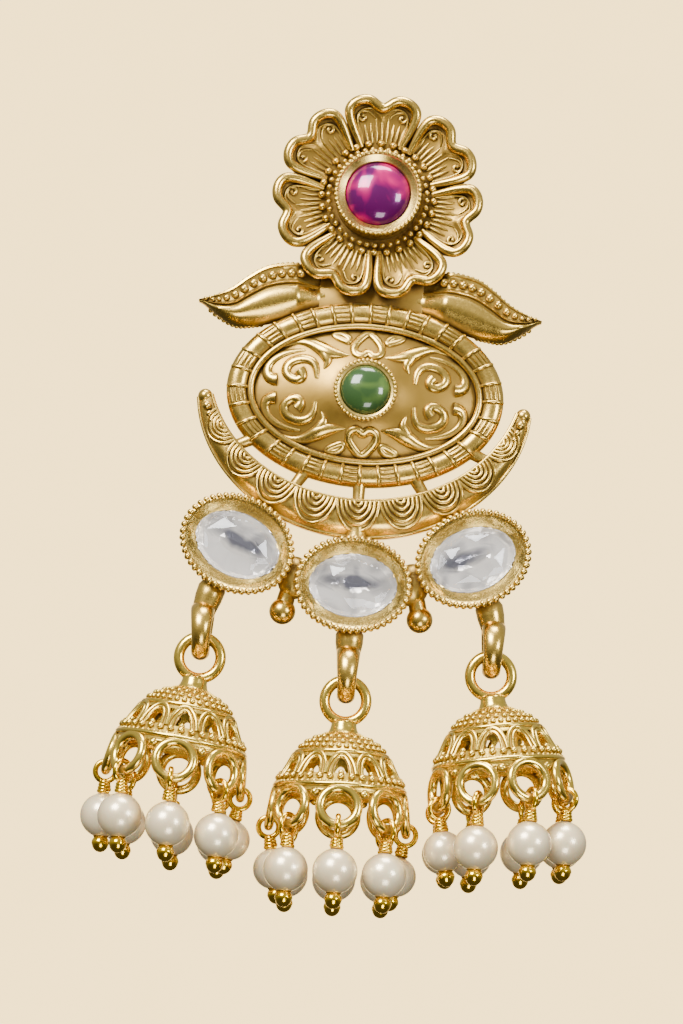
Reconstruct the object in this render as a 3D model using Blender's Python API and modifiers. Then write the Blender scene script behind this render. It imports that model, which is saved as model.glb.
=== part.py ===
"""Jhumka drop earring: a flower stud with two leaves, an oval plaque in a crescent, three oval settings and
three pierced bells fringed with pearls.

The head is one soldered piece of gold-coloured metal that holds five stones. Each bell hangs by its own
ring from a fixed loop below the head, and eight pearls on wrapped pins hang from the rings of its skirt.

Lengths are in metres. The origin is the middle of the flower's flat back, where the post leaves it.
X runs to the viewer's right, -Y to the front and Z up. The head is drawn lying on its back, with x to
the right, y up the earring and z towards the viewer, and is then stood up as a whole.
"""

import math
from collections import namedtuple

import bmesh
import bpy
from mathutils import Matrix, Vector

MM = 0.001

# Clearances
SEAT_GAP = 0.2 * MM
LINK_PLAY = 0.2 * MM
BELL_GAP = 0.35 * MM

# Flower, its petals and the cup of its stone
FLOWER_RADIUS = 8.4 * MM
PETALS = 7
PETAL_EDGE_HEIGHT = 1.1 * MM
PETAL_RIM_HEIGHT = 2.3 * MM
PETAL_RIM_WIDTH = 0.7 * MM
PETAL_FLOOR_HEIGHT = 1.35 * MM
FLOWER_EYE_RADIUS = 4.3 * MM
FLOWER_EYE_HEIGHT = 1.0 * MM
MAGENTA_RADIUS = 2.6 * MM
MAGENTA_DOME = 1.3 * MM
MAGENTA_GIRDLE = 0.5 * MM
MAGENTA_CUP_WALL = 0.75 * MM
MAGENTA_CUP_HEIGHT = 3.3 * MM
MAGENTA_SEAT_HEIGHT = 1.9 * MM

# Leaves and the tab that carries the flower and the leaves
LEAF_ROOT_X = 4.2 * MM
LEAF_ROOT_Y = -7.9 * MM
LEAF_LENGTH = 9.7 * MM
LEAF_WIDTH = 4.7 * MM
LEAF_FALL = math.radians(7.8)
LEAF_HEIGHT = 2.1 * MM
LEAF_BACK = 0.15 * MM
TAB_WIDTH = 8.6 * MM
TAB_THICKNESS = 0.8 * MM
TAB_BACK = 0.15 * MM

# Oval plaque: barrel border, wire line, domed field and the cup of its stone
PLAQUE_Y = -16.2 * MM
PLAQUE_HALF_WIDTH = 11.15 * MM
PLAQUE_HALF_HEIGHT = 7.5 * MM
BORDER_WIDTH = 1.75 * MM
BORDER_HEIGHT = 2.1 * MM
FIELD_INSET = 2.2 * MM
FIELD_EDGE_HEIGHT = 1.45 * MM
FIELD_CROWN_HEIGHT = 2.7 * MM
SCROLL_WIRE = 0.3 * MM
GREEN_RADIUS = 1.95 * MM
GREEN_DOME = 1.0 * MM
GREEN_GIRDLE = 0.4 * MM
GREEN_CUP_WALL = 0.4 * MM
GREEN_CUP_HEIGHT = 3.75 * MM
GREEN_SEAT_HEIGHT = 3.0 * MM

# Crescent under the plaque
CRESCENT_CENTRE_RISE = 0.9 * MM
CRESCENT_HALF_WIDTH = 12.9 * MM
CRESCENT_DROP = 11.0 * MM
CRESCENT_HALF_THICKNESS = 1.5 * MM
CRESCENT_TIP_HALF_THICKNESS = 0.3 * MM
CRESCENT_REACH = math.radians(81)
CRESCENT_HEIGHT = 2.2 * MM
CRESCENT_BACK = 0.3 * MM
CRESCENT_TIP_BALL = 0.6 * MM
PEG_RADIUS = 0.45 * MM
PEG_ANGLES = [math.radians(a) for a in (-57, -27.5, 0, 27.5, 57)]

# Three oval settings in a row
SETTING_HALF_WIDTH = 4.7 * MM
SETTING_HALF_HEIGHT = 3.9 * MM
SETTING_HEIGHT = 3.2 * MM
SETTING_SEAT_HEIGHT = 1.3 * MM
SETTING_RIM_WIDTH = 0.4 * MM
SETTING_BACK = 0.1 * MM
MIDDLE_SETTING_Y = -31.7 * MM
OUTER_SETTING_X = 9.35 * MM
OUTER_SETTING_Y = -29.05 * MM
OUTER_SETTING_TURN = math.radians(24)
CLEAR_STONE_HALF_LENGTH = 3.5 * MM
CLEAR_STONE_HALF_WIDTH = 2.55 * MM
CLEAR_STONE_HEIGHT = 1.6 * MM
STRUT_THICKNESS = 1.0 * MM
BEAD_RADIUS = 1.05 * MM
BEAD_X = 5.45 * MM
BEAD_Y = -34.0 * MM
HEAD_MIDDLE = 1.2 * MM

# Fixed loops, and the rings of the bells that hang in them
LOOP_WIRE = 0.62 * MM
LOOP_RADIUS = 1.75 * MM
BELL_RING_WIRE = 0.43 * MM
BELL_RING_SIDE_PLAY = 0.6 * MM
MIDDLE_BELL_RING_Z = -40.8 * MM
OUTER_BELL_RING_Z = -38.1 * MM
OUTER_BELL_LEAN = math.radians(8)

# Bells, measured down from the middle of their ring
NECK_RADIUS = 1.2 * MM
NECK_LENGTH = 1.0 * MM
BELL_WALL = 0.6 * MM
CAP_RADIUS = 3.8 * MM
CAP_HEIGHT = 1.9 * MM
LATTICE_RADIUS = 5.1 * MM
LATTICE_HEIGHT = 2.5 * MM
LATTICE_ARCHES = 12
LATTICE_FRAME_SHARE = 0.36
BAND_HEIGHT = 0.55 * MM
SKIRT_RINGS = 8
SKIRT_RING_RADIUS = 1.46 * MM
SKIRT_RING_WIRE = 0.38 * MM
SKIRT_FLARE = math.radians(8)

# Pearl drops, measured down from the ring wire that they hang on
PIN_WIRE = 0.22 * MM
PIN_WRAP_RADIUS = 0.55 * MM
PIN_WRAP_LENGTH = 1.1 * MM
PIN_BALL_RADIUS = 0.7 * MM
PEARL_RADIUS = 1.75 * MM
SIDE_PEARL_RADIUS = 1.6 * MM
SIDE_PEARL_LEAN = math.radians(10)

# Post
POST_RADIUS = 0.45 * MM
POST_LENGTH = 11.0 * MM
POST_FOOT_RADIUS = 2.4 * MM
POST_FOOT_THICKNESS = 0.5 * MM

# What follows from the sizes above
BELL_RING_RADIUS = LOOP_WIRE + BELL_RING_SIDE_PLAY + BELL_RING_WIRE
LOOP_RISE = BELL_RING_RADIUS - BELL_RING_WIRE - LOOP_WIRE - LINK_PLAY + LOOP_RADIUS
NECK_TOP = -BELL_RING_RADIUS
CAP_TOP = NECK_TOP - NECK_LENGTH
LATTICE_TOP = CAP_TOP - CAP_HEIGHT
BAND_TOP = LATTICE_TOP - LATTICE_HEIGHT
SKIRT_RING_TOP_Z = BAND_TOP - BAND_HEIGHT / 2
SKIRT_RING_Z = SKIRT_RING_TOP_Z - SKIRT_RING_RADIUS * math.cos(SKIRT_FLARE)
SKIRT_RING_CENTRE = LATTICE_RADIUS - SKIRT_RING_WIRE / 4 + SKIRT_RING_RADIUS * math.sin(SKIRT_FLARE)
HANG_RADIUS = SKIRT_RING_CENTRE + SKIRT_RING_RADIUS * math.sin(SKIRT_FLARE)
HANG_Z = SKIRT_RING_Z - SKIRT_RING_RADIUS * math.cos(SKIRT_FLARE)
PIN_LOOP_RADIUS = SKIRT_RING_WIRE + LINK_PLAY + PIN_WIRE
PIN_WRAP_TOP = -PIN_LOOP_RADIUS

BELL_TURNS = {"left": 0.0, "middle": 0.0, "right": math.radians(22.5)}

# One petal, from one valley towards the next: angle as a share of half the petal's, radius of the flower's
OutlinePoint = namedtuple("OutlinePoint", "turn radius")
PETAL_OUTLINE = [
    OutlinePoint(-1.0, 0.83),
    OutlinePoint(-0.74, 0.98),
    OutlinePoint(-0.36, 1.0),
    OutlinePoint(0.0, 0.885),
    OutlinePoint(0.36, 1.0),
    OutlinePoint(0.74, 0.98),
]

# Sections of a leaf from root to tip: place as a share of its length, the rest as shares of its width
LeafSection = namedtuple("LeafSection", "along low ridge high")
LEAF_SECTIONS = [
    LeafSection(0.0, -0.08, 0.0, 0.1),
    LeafSection(0.14, -0.15, 0.03, 0.38),
    LeafSection(0.3, -0.25, 0.06, 0.5),
    LeafSection(0.46, -0.4, 0.03, 0.48),
    LeafSection(0.62, -0.49, -0.1, 0.34),
    LeafSection(0.78, -0.49, -0.2, 0.16),
    LeafSection(0.9, -0.31, -0.15, 0.05),
    LeafSection(1.0, -0.03, 0.0, 0.02),
]

# Strokes of the cast scrolls in one quarter of the field, as shares of its half width and half height
Stroke = namedtuple("Stroke", "points")
SCROLLS = [
    Stroke([(0.44, 0.74), (0.7, 0.66), (0.88, 0.4), (0.82, 0.13)]),
    Stroke([(0.36, 0.34), (0.52, 0.52), (0.69, 0.34), (0.6, 0.1), (0.5, 0.24)]),
]
HEART = [(0.0, 0.92), (0.1, 0.7), (0.05, 0.54), (0.0, 0.62), (-0.05, 0.54), (-0.1, 0.7)]


def clear_scene():
    for obj in list(bpy.data.objects):
        bpy.data.objects.remove(obj, do_unlink=True)


def material(name, colour, roughness, metallic):
    """A Principled BSDF of one colour."""
    made = bpy.data.materials.new(name)
    made.use_nodes = True
    shader = made.node_tree.nodes["Principled BSDF"]
    shader.inputs["Base Color"].default_value = (*colour, 1.0)
    shader.inputs["Roughness"].default_value = roughness
    shader.inputs["Metallic"].default_value = metallic
    made.diffuse_color = (*colour, 1.0)
    return made


def placed(mesh_data, name):
    """An object of the mesh, in the scene's own collection."""
    obj = bpy.data.objects.new(name, mesh_data)
    bpy.context.scene.collection.objects.link(obj)
    return obj


def from_bmesh(bm, name):
    """An object of a closed bmesh, with its normals outwards."""
    bmesh.ops.recalc_face_normals(bm, faces=bm.faces)
    data = bpy.data.meshes.new(name)
    bm.to_mesh(data)
    bm.free()
    return placed(data, name)


def loft(name, rings):
    """A closed solid through rings of equally many points, its two ends capped."""
    bm = bmesh.new()
    rows = [[bm.verts.new(point) for point in ring] for ring in rings]
    for low, high in zip(rows, rows[1:]):
        for i in range(len(low)):
            after = (i + 1) % len(low)
            bm.faces.new((low[i], low[after], high[after], high[i]))
    bm.faces.new(rows[0])
    bm.faces.new(rows[-1])
    return from_bmesh(bm, name)


def turned(name, profile, steps):
    """A solid turned about Z from its half profile, listed from top to bottom as (radius, height)."""
    data = bpy.data.meshes.new(name)
    points = [(radius, 0.0, height) for radius, height in profile]
    data.from_pydata(points, [(i, i + 1) for i in range(len(points) - 1)], [])
    obj = placed(data, name)
    screw = obj.modifiers.new("Turn", "SCREW")
    screw.steps = steps
    screw.render_steps = steps
    screw.use_merge_vertices = True
    screw.merge_threshold = 0.000001
    return obj


def torus(name, radius, wire, segments, sides, location=(0, 0, 0), rotation=(0, 0, 0)):
    bpy.ops.mesh.primitive_torus_add(
        major_radius=radius, minor_radius=wire, major_segments=segments, minor_segments=sides,
        location=location, rotation=rotation)
    obj = bpy.context.object
    obj.name = name
    return obj


def ball(name, radius, location, segments=10, rings=6):
    bpy.ops.mesh.primitive_uv_sphere_add(segments=segments, ring_count=rings, radius=radius, location=location)
    obj = bpy.context.object
    obj.name = name
    return obj


def rod(name, start, end, radius, end_radius=None, sides=8):
    """A round bar between two points, tapered if it has a second radius."""
    start, end = Vector(start), Vector(end)
    along = end - start
    bm = bmesh.new()
    bmesh.ops.create_cone(bm, cap_ends=True, segments=sides, radius1=radius,
                          radius2=radius if end_radius is None else end_radius, depth=along.length)
    turn = along.to_track_quat("Z", "Y").to_matrix().to_4x4()
    bmesh.ops.transform(bm, matrix=Matrix.Translation((start + end) / 2) @ turn, verts=bm.verts)
    return from_bmesh(bm, name)


def box(name, low, high):
    """A block between two corners."""
    low, high = Vector(low), Vector(high)
    bm = bmesh.new()
    bmesh.ops.create_cube(bm, size=1.0)
    bmesh.ops.scale(bm, vec=high - low, verts=bm.verts)
    bmesh.ops.translate(bm, vec=(low + high) / 2, verts=bm.verts)
    return from_bmesh(bm, name)


def wire(name, points, radius, closed=False):
    """A four-sided wire along points, as a mesh."""
    curve = bpy.data.curves.new(name, "CURVE")
    curve.dimensions = "3D"
    curve.bevel_depth = radius
    curve.bevel_resolution = 0
    curve.use_fill_caps = True
    spline = curve.splines.new("POLY")
    spline.points.add(len(points) - 1)
    for target, point in zip(spline.points, points):
        target.co = (*point, 1.0)
    spline.use_cyclic_u = closed
    guide = placed(curve, name)
    graph = bpy.context.evaluated_depsgraph_get()
    bm = bmesh.new()
    drawn = bpy.data.meshes.new_from_object(guide.evaluated_get(graph))
    bm.from_mesh(drawn)
    bmesh.ops.remove_doubles(bm, verts=bm.verts, dist=0.000001)
    bpy.data.objects.remove(guide, do_unlink=True)
    bpy.data.meshes.remove(drawn)
    return from_bmesh(bm, name)


def fused(name, pieces):
    """One solid: the union of pieces that overlap, which are then removed."""
    base, others = pieces[0], pieces[1:]
    tools = bpy.data.collections.new(name + "_pieces")
    for piece in others:
        tools.objects.link(piece)
    union = base.modifiers.new("Union", "BOOLEAN")
    union.operation = "UNION"
    union.operand_type = "COLLECTION"
    union.collection = tools
    union.solver = "EXACT"
    graph = bpy.context.evaluated_depsgraph_get()
    data = bpy.data.meshes.new_from_object(base.evaluated_get(graph))
    data.name = name
    data.transform(base.matrix_world)
    data.materials.clear()
    for piece in pieces:
        bpy.data.objects.remove(piece, do_unlink=True)
    bpy.data.collections.remove(tools)
    return placed(data, name)


def finish(obj, collection, finish_material, parent, place=None, faceted=False):
    """Gives the object its material and shading, puts it in the collection and hangs it on its parent."""
    for other in list(obj.users_collection):
        other.objects.unlink(obj)
    collection.objects.link(obj)
    obj.data.materials.clear()
    obj.data.materials.append(finish_material)
    if not faceted:
        obj.data.shade_smooth()
        obj.data.set_sharp_from_angle(angle=math.radians(40))
    obj.parent = parent
    if place is not None:
        obj.matrix_local = place
    return obj


def oval(half_width, half_height, height, count, centre=(0.0, 0.0), turn=0.0):
    """Points of an ellipse at one height, turned about its centre."""
    points = []
    for i in range(count):
        angle = 2 * math.pi * i / count
        point = Vector((half_width * math.cos(angle), half_height * math.sin(angle), height))
        point.rotate(Matrix.Rotation(turn, 3, "Z"))
        points.append(point + Vector((*centre, 0.0)))
    return points


def flower_ring(radius_of, height_of):
    """Points round the flower: radius_of and height_of take the outline's radius and whether it is a valley."""
    points = []
    half_petal = math.pi / PETALS
    for petal in range(PETALS):
        middle = math.pi / 2 + petal * 2 * half_petal
        for mark in PETAL_OUTLINE:
            angle = middle + mark.turn * half_petal
            valley = mark.turn == -1.0
            radius = radius_of(mark.radius * FLOWER_RADIUS, valley)
            points.append(Vector((radius * math.cos(angle), radius * math.sin(angle), height_of(valley))))
    return points


def flower():
    """The petals: a dish with a raised rim, and a ridge in each valley between two petals."""
    ridge = (PETAL_RIM_HEIGHT + PETAL_FLOOR_HEIGHT) / 2
    rim_slope = 1.7 * PETAL_RIM_WIDTH
    rings = [
        flower_ring(lambda r, valley: r - PETAL_RIM_WIDTH, lambda valley: 0.0),
        flower_ring(lambda r, valley: r, lambda valley: PETAL_EDGE_HEIGHT),
        flower_ring(lambda r, valley: r - 0.6 * PETAL_RIM_WIDTH, lambda valley: PETAL_RIM_HEIGHT),
        flower_ring(lambda r, valley: r - rim_slope, lambda valley: ridge if valley else PETAL_FLOOR_HEIGHT),
        flower_ring(lambda r, valley: FLOWER_EYE_RADIUS, lambda valley: FLOWER_EYE_HEIGHT),
    ]
    return loft("petals", rings)


def stone_cup(name, radius, wall, base, seat, rim, steps, centre=(0.0, 0.0)):
    """A round cup that holds a stone: solid below its seat, with a flared rim above it."""
    inner = radius + SEAT_GAP
    flare = wall / 3
    profile = [(0.0, seat), (inner, seat), (inner + flare, rim), (inner + wall, rim - flare),
               (inner + wall / 2, base), (0.0, base)]
    obj = turned(name, profile, steps)
    obj.location = (*centre, 0.0)
    return obj


def field_height(x, y):
    """Height of the plaque's domed field at a point, as shares of its half width and half height."""
    share = min(1.0, x * x + y * y)
    return FIELD_CROWN_HEIGHT + (FIELD_EDGE_HEIGHT - FIELD_CROWN_HEIGHT) * share


def plaque():
    """The oval plaque: flat back, barrel border, a wire line and the domed field."""
    centre = (0.0, PLAQUE_Y)
    edge = BORDER_WIDTH / 2

    def row(inset, height):
        return oval(PLAQUE_HALF_WIDTH - inset, PLAQUE_HALF_HEIGHT - inset, height, 24, centre)

    rings = [
        row(0.25 * edge, 0.0),
        row(0.0, 0.6 * BORDER_HEIGHT),
        row(0.8 * edge, BORDER_HEIGHT),
        row(BORDER_WIDTH, 0.75 * BORDER_HEIGHT),
        row((BORDER_WIDTH + FIELD_INSET) / 2, 0.95 * BORDER_HEIGHT),
        row(FIELD_INSET, FIELD_EDGE_HEIGHT),
    ]
    half_width, half_height = field_half_sizes()
    share = 0.5
    rings.append(oval(half_width * share, half_height * share, field_height(share, 0.0), 24, centre))
    return loft("plaque", rings)


def field_half_sizes():
    return PLAQUE_HALF_WIDTH - FIELD_INSET, PLAQUE_HALF_HEIGHT - FIELD_INSET


def field_point(x, y):
    """The middle of a scroll's wire on the field, from its shares."""
    half_width, half_height = field_half_sizes()
    return Vector((x * half_width, PLAQUE_Y + y * half_height, field_height(x, y) + SCROLL_WIRE / 3))


def cast_scrolls():
    """The raised scrolls, the same in each quarter of the field, and a heart above and below the stone."""
    pieces = []
    for across in (-1, 1):
        for up in (-1, 1):
            for stroke in SCROLLS:
                points = [field_point(across * x, up * y) for x, y in stroke.points]
                pieces.append(wire("scroll", points, SCROLL_WIRE))
    for up in (-1, 1):
        points = [field_point(x, up * y) for x, y in HEART]
        pieces.append(wire("heart", points, SCROLL_WIRE, closed=True))
    return pieces


def leaf(side):
    """One leaf with its smooth ridge, to the right for side 1 and to the left for side -1."""
    along = Vector((math.cos(LEAF_FALL), -math.sin(LEAF_FALL), 0.0))
    across = Vector((math.sin(LEAF_FALL), math.cos(LEAF_FALL), 0.0))
    root = Vector((LEAF_ROOT_X, LEAF_ROOT_Y, 0.0))
    edge = 0.4 * LEAF_HEIGHT
    rings = []
    for section in LEAF_SECTIONS:
        middle = root + along * section.along * LEAF_LENGTH
        full = 1.0 if section.along < 0.95 else 0.55
        ring = []
        for offset, height in ((section.high, LEAF_BACK), (section.high, edge), (section.ridge, full * LEAF_HEIGHT),
                               (section.low, edge), (section.low, LEAF_BACK)):
            point = middle + across * offset * LEAF_WIDTH
            ring.append(Vector((side * point.x, point.y, height)))
        rings.append(ring)
    return loft("leaf", rings)


def crescent_point(angle):
    """A point on the crescent's middle line, at an angle from its lowest point."""
    centre = PLAQUE_Y + CRESCENT_CENTRE_RISE
    return Vector((CRESCENT_HALF_WIDTH * math.sin(angle), centre - CRESCENT_DROP * math.cos(angle), 0.0))


def crescent():
    """The crescent, half round in front and tapering to its tips."""
    sections = 16
    rings = []
    for i in range(sections + 1):
        angle = CRESCENT_REACH * (2 * i / sections - 1)
        middle = crescent_point(angle)
        outward = Vector((CRESCENT_DROP * math.sin(angle), -CRESCENT_HALF_WIDTH * math.cos(angle), 0.0)).normalized()
        share = math.cos(angle) ** 0.8
        half = CRESCENT_TIP_HALF_THICKNESS + (CRESCENT_HALF_THICKNESS - CRESCENT_TIP_HALF_THICKNESS) * share
        front = CRESCENT_HEIGHT * (0.55 + 0.45 * share)
        profile = ((-1.0, CRESCENT_BACK), (-1.0, 0.6 * front), (-0.6, front), (0.25, front), (1.0, 0.5 * front),
                   (1.0, CRESCENT_BACK))
        rings.append([middle + outward * offset * half + Vector((0, 0, height)) for offset, height in profile])
    return loft("crescent", rings)


def crescent_tips():
    pieces = []
    for side in (-1, 1):
        place = crescent_point(side * CRESCENT_REACH) + Vector((0, 0, CRESCENT_HEIGHT * 0.4))
        pieces.append(ball("tip_ball", CRESCENT_TIP_BALL, place, 10, 5))
    return pieces


def pegs():
    """Pegs that carry the crescent below the plaque."""
    pieces = []
    for angle in PEG_ANGLES:
        low = crescent_point(angle)
        centre = Vector((0.0, PLAQUE_Y, 0.0))
        direction = low - centre
        reach = math.hypot(direction.x / PLAQUE_HALF_WIDTH, direction.y / PLAQUE_HALF_HEIGHT)
        high = centre + direction * (1 - BORDER_WIDTH / 2 / PLAQUE_HALF_HEIGHT) / reach
        lift = Vector((0, 0, HEAD_MIDDLE))
        pieces.append(rod("peg", high + lift, low + lift, PEG_RADIUS, sides=4))
    return pieces


def settings_places():
    """Centre and turn of each oval setting, by side."""
    return {
        "left": ((-OUTER_SETTING_X, OUTER_SETTING_Y), -OUTER_SETTING_TURN),
        "middle": ((0.0, MIDDLE_SETTING_Y), 0.0),
        "right": ((OUTER_SETTING_X, OUTER_SETTING_Y), OUTER_SETTING_TURN),
    }


def oval_setting(side):
    """A deep oval cup with sloping walls, its seat cut to the stone."""
    centre, turn = settings_places()[side]
    seat_width = CLEAR_STONE_HALF_LENGTH + SEAT_GAP
    seat_height = CLEAR_STONE_HALF_WIDTH + SEAT_GAP

    def row(inset, height):
        return oval(SETTING_HALF_WIDTH - inset, SETTING_HALF_HEIGHT - inset, height, 16, centre, turn)

    rings = [
        row(2.4 * SETTING_RIM_WIDTH, SETTING_BACK),
        row(0.6 * SETTING_RIM_WIDTH, 0.4 * SETTING_HEIGHT),
        row(0.0, SETTING_HEIGHT - SETTING_RIM_WIDTH),
        row(0.5 * SETTING_RIM_WIDTH, SETTING_HEIGHT),
        row(SETTING_RIM_WIDTH, SETTING_HEIGHT - 0.5 * SETTING_RIM_WIDTH),
        oval(seat_width, seat_height, SETTING_SEAT_HEIGHT + CLEAR_STONE_HEIGHT / 4, 16, centre, turn),
        oval(seat_width, seat_height, SETTING_SEAT_HEIGHT, 16, centre, turn),
    ]
    return loft("setting", rings)


def struts():
    """Bars behind the settings: to each other, to the crescent, to the small balls and to the loops."""
    places = {side: Vector((*centre, HEAD_MIDDLE)) for side, (centre, turn) in settings_places().items()}
    half = STRUT_THICKNESS / 2
    low = HEAD_MIDDLE - half
    pieces = [box("neck_bar", (-STRUT_THICKNESS, MIDDLE_SETTING_Y + 0.85 * SETTING_HALF_HEIGHT, low),
                  (STRUT_THICKNESS, crescent_point(0).y, low + STRUT_THICKNESS))]
    for side, sign in (("left", -1), ("right", 1)):
        lift = Vector((0, 0, HEAD_MIDDLE - SETTING_SEAT_HEIGHT / 2 - half / 4))
        level = Vector((0, 0, lift.z - HEAD_MIDDLE))
        pieces.append(rod("row_bar", places[side] + level, places["middle"] + level, half, sides=4))
        crescent_joint = crescent_point(sign * math.radians(37)) + lift
        pieces.append(rod("crescent_bar", places[side] + level, crescent_joint, half, sides=4))
        bead = Vector((sign * BEAD_X, BEAD_Y, HEAD_MIDDLE))
        pieces.append(ball("bead", BEAD_RADIUS, bead, 10, 5))
        between = (places[side] + places["middle"]) / 2
        pieces.append(rod("bead_stem", between, bead, half, 0.7 * half, sides=4))
    return pieces


def bell_places():
    """Middle of each bell's ring, by side, in the standing frame."""
    depth = -HEAD_MIDDLE
    return {
        "left": Vector((-(bell_reach("middle", -1) + BELL_GAP + bell_reach("left", 1)), depth, OUTER_BELL_RING_Z)),
        "middle": Vector((0.0, depth, MIDDLE_BELL_RING_Z)),
        "right": Vector((bell_reach("middle", 1) + BELL_GAP + bell_reach("right", -1), depth, OUTER_BELL_RING_Z)),
    }


def bell_lean(side):
    """Turn about Y that leans an outer bell away from the middle one."""
    return {"left": 1.0, "middle": 0.0, "right": -1.0}[side] * OUTER_BELL_LEAN


def loops():
    """The three fixed loops, edge on to the viewer, each with a stem up to its setting."""
    pieces = []
    for side, place in bell_places().items():
        centre = Vector((place.x, place.z + LOOP_RISE, HEAD_MIDDLE))
        pieces.append(torus("loop", LOOP_RADIUS, LOOP_WIRE, 12, 5, location=centre, rotation=(0, math.pi / 2, 0)))
        setting, turn = settings_places()[side]
        seat = Vector((*setting, HEAD_MIDDLE))
        top = centre + Vector((0, LOOP_RADIUS, 0))
        foot = seat + (top - seat).normalized() * 0.9 * SETTING_HALF_HEIGHT
        pieces.append(rod("stem", foot, top, 1.3 * LOOP_WIRE, 0.9 * LOOP_WIRE, sides=6))
    return pieces


def soldered_head():
    """All the metal of the head, as one solid."""
    tab = box("tab", (-TAB_WIDTH / 2, PLAQUE_Y + 0.6 * PLAQUE_HALF_HEIGHT, TAB_BACK),
              (TAB_WIDTH / 2, -0.6 * FLOWER_RADIUS, TAB_BACK + TAB_THICKNESS))
    pieces = [plaque(), flower(), tab, leaf(-1), leaf(1), crescent()]
    pieces.append(stone_cup("flower_cup", MAGENTA_RADIUS, MAGENTA_CUP_WALL, FLOWER_EYE_HEIGHT / 2,
                            MAGENTA_SEAT_HEIGHT, MAGENTA_CUP_HEIGHT, 14))
    pieces.append(stone_cup("plaque_cup", GREEN_RADIUS, GREEN_CUP_WALL, FIELD_EDGE_HEIGHT,
                            GREEN_SEAT_HEIGHT, GREEN_CUP_HEIGHT, 12, (0.0, PLAQUE_Y)))
    pieces += cast_scrolls() + crescent_tips() + pegs() + struts() + loops()
    pieces += [oval_setting(side) for side in settings_places()]
    return fused("soldered_head", pieces)


def cabochon(name, radius, dome, girdle, seat, steps):
    """A domed round stone that stands a gap above its seat."""
    base = seat + SEAT_GAP
    profile = []
    arcs = 3
    for i in range(arcs + 1):
        angle = math.pi / 2 * i / arcs
        profile.append((radius * math.sin(angle), base + girdle + dome * math.cos(angle)))
    profile += [(radius, base), (0.0, base)]
    return turned(name, profile, steps)


def clear_stone(name):
    """An oval stone cut with a table, eight crown facets, their corners and a low pavilion."""
    base = SETTING_SEAT_HEIGHT + SEAT_GAP
    girdle = base + 0.4 * CLEAR_STONE_HEIGHT
    table = base + CLEAR_STONE_HEIGHT
    rings = [
        (0.5, table, 8, 0.5),
        (0.82, (girdle + 2 * table) / 3, 8, 0.0),
        (1.0, girdle, 16, 0.0),
        (0.85, base, 16, 0.0),
    ]
    bm = bmesh.new()
    for share, height, count, turn in rings:
        for i in range(count):
            angle = 2 * math.pi * (i + turn) / count
            bm.verts.new((share * CLEAR_STONE_HALF_LENGTH * math.cos(angle),
                          share * CLEAR_STONE_HALF_WIDTH * math.sin(angle), height))
    hull = bmesh.ops.convex_hull(bm, input=bm.verts)
    bmesh.ops.delete(bm, geom=hull["geom_unused"] + hull["geom_interior"], context="VERTS")
    return from_bmesh(bm, name)


def ear_post():
    """A plain post on a small foot behind the flower."""
    foot = -SEAT_GAP
    profile = [(0.0, foot), (POST_FOOT_RADIUS, foot), (POST_FOOT_RADIUS, foot - POST_FOOT_THICKNESS),
               (POST_RADIUS, foot - POST_FOOT_THICKNESS), (POST_RADIUS, foot - POST_LENGTH + POST_RADIUS),
               (0.4 * POST_RADIUS, foot - POST_LENGTH), (0.0, foot - POST_LENGTH)]
    return turned("ear_post", profile, 10)


def pierced_cell(bm, start, middle, end, peak):
    """The frame of one three-cornered opening, whose long side runs from start over middle to end."""
    corners = (start, end, peak)
    centre = sum((corner.co for corner in corners), Vector()) / 3
    inner = [bm.verts.new(corner.co.lerp(centre, LATTICE_FRAME_SHARE)) for corner in corners]
    bm.faces.new((start, middle, end, inner[1], inner[0]))
    bm.faces.new((end, peak, inner[2], inner[1]))
    bm.faces.new((peak, start, inner[0], inner[2]))


def bell_shell():
    """The dome: a plain cap, the pierced lattice of arches and the band under it, with one wall thickness."""
    columns = 2 * LATTICE_ARCHES
    profile = [
        (NECK_RADIUS, CAP_TOP),
        (0.66 * CAP_RADIUS + 0.34 * NECK_RADIUS, CAP_TOP - 0.45 * CAP_HEIGHT),
        (CAP_RADIUS, LATTICE_TOP),
        (LATTICE_RADIUS, BAND_TOP),
        (LATTICE_RADIUS, BAND_TOP - BAND_HEIGHT),
    ]
    bm = bmesh.new()
    rows = []
    for radius, height in profile:
        row = []
        for k in range(columns):
            angle = 2 * math.pi * k / columns
            row.append(bm.verts.new((radius * math.cos(angle), radius * math.sin(angle), height)))
        rows.append(row)
    lattice = 2
    for index, (high, low) in enumerate(zip(rows, rows[1:])):
        if index == lattice:
            continue
        for k in range(columns):
            after = (k + 1) % columns
            bm.faces.new((low[k], low[after], high[after], high[k]))
    high, low = rows[lattice], rows[lattice + 1]
    for k in range(0, columns, 2):
        one, two, three = (k + 1) % columns, (k + 2) % columns, (k + 3) % columns
        pierced_cell(bm, low[k], low[one], low[two], high[one])
        pierced_cell(bm, high[three], high[two], high[one], low[two])
    data = bpy.data.meshes.new("shell")
    bm.to_mesh(data)
    bm.free()
    obj = placed(data, "shell")
    wall = obj.modifiers.new("Wall", "SOLIDIFY")
    wall.thickness = BELL_WALL
    wall.offset = -1.0
    return obj


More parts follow.
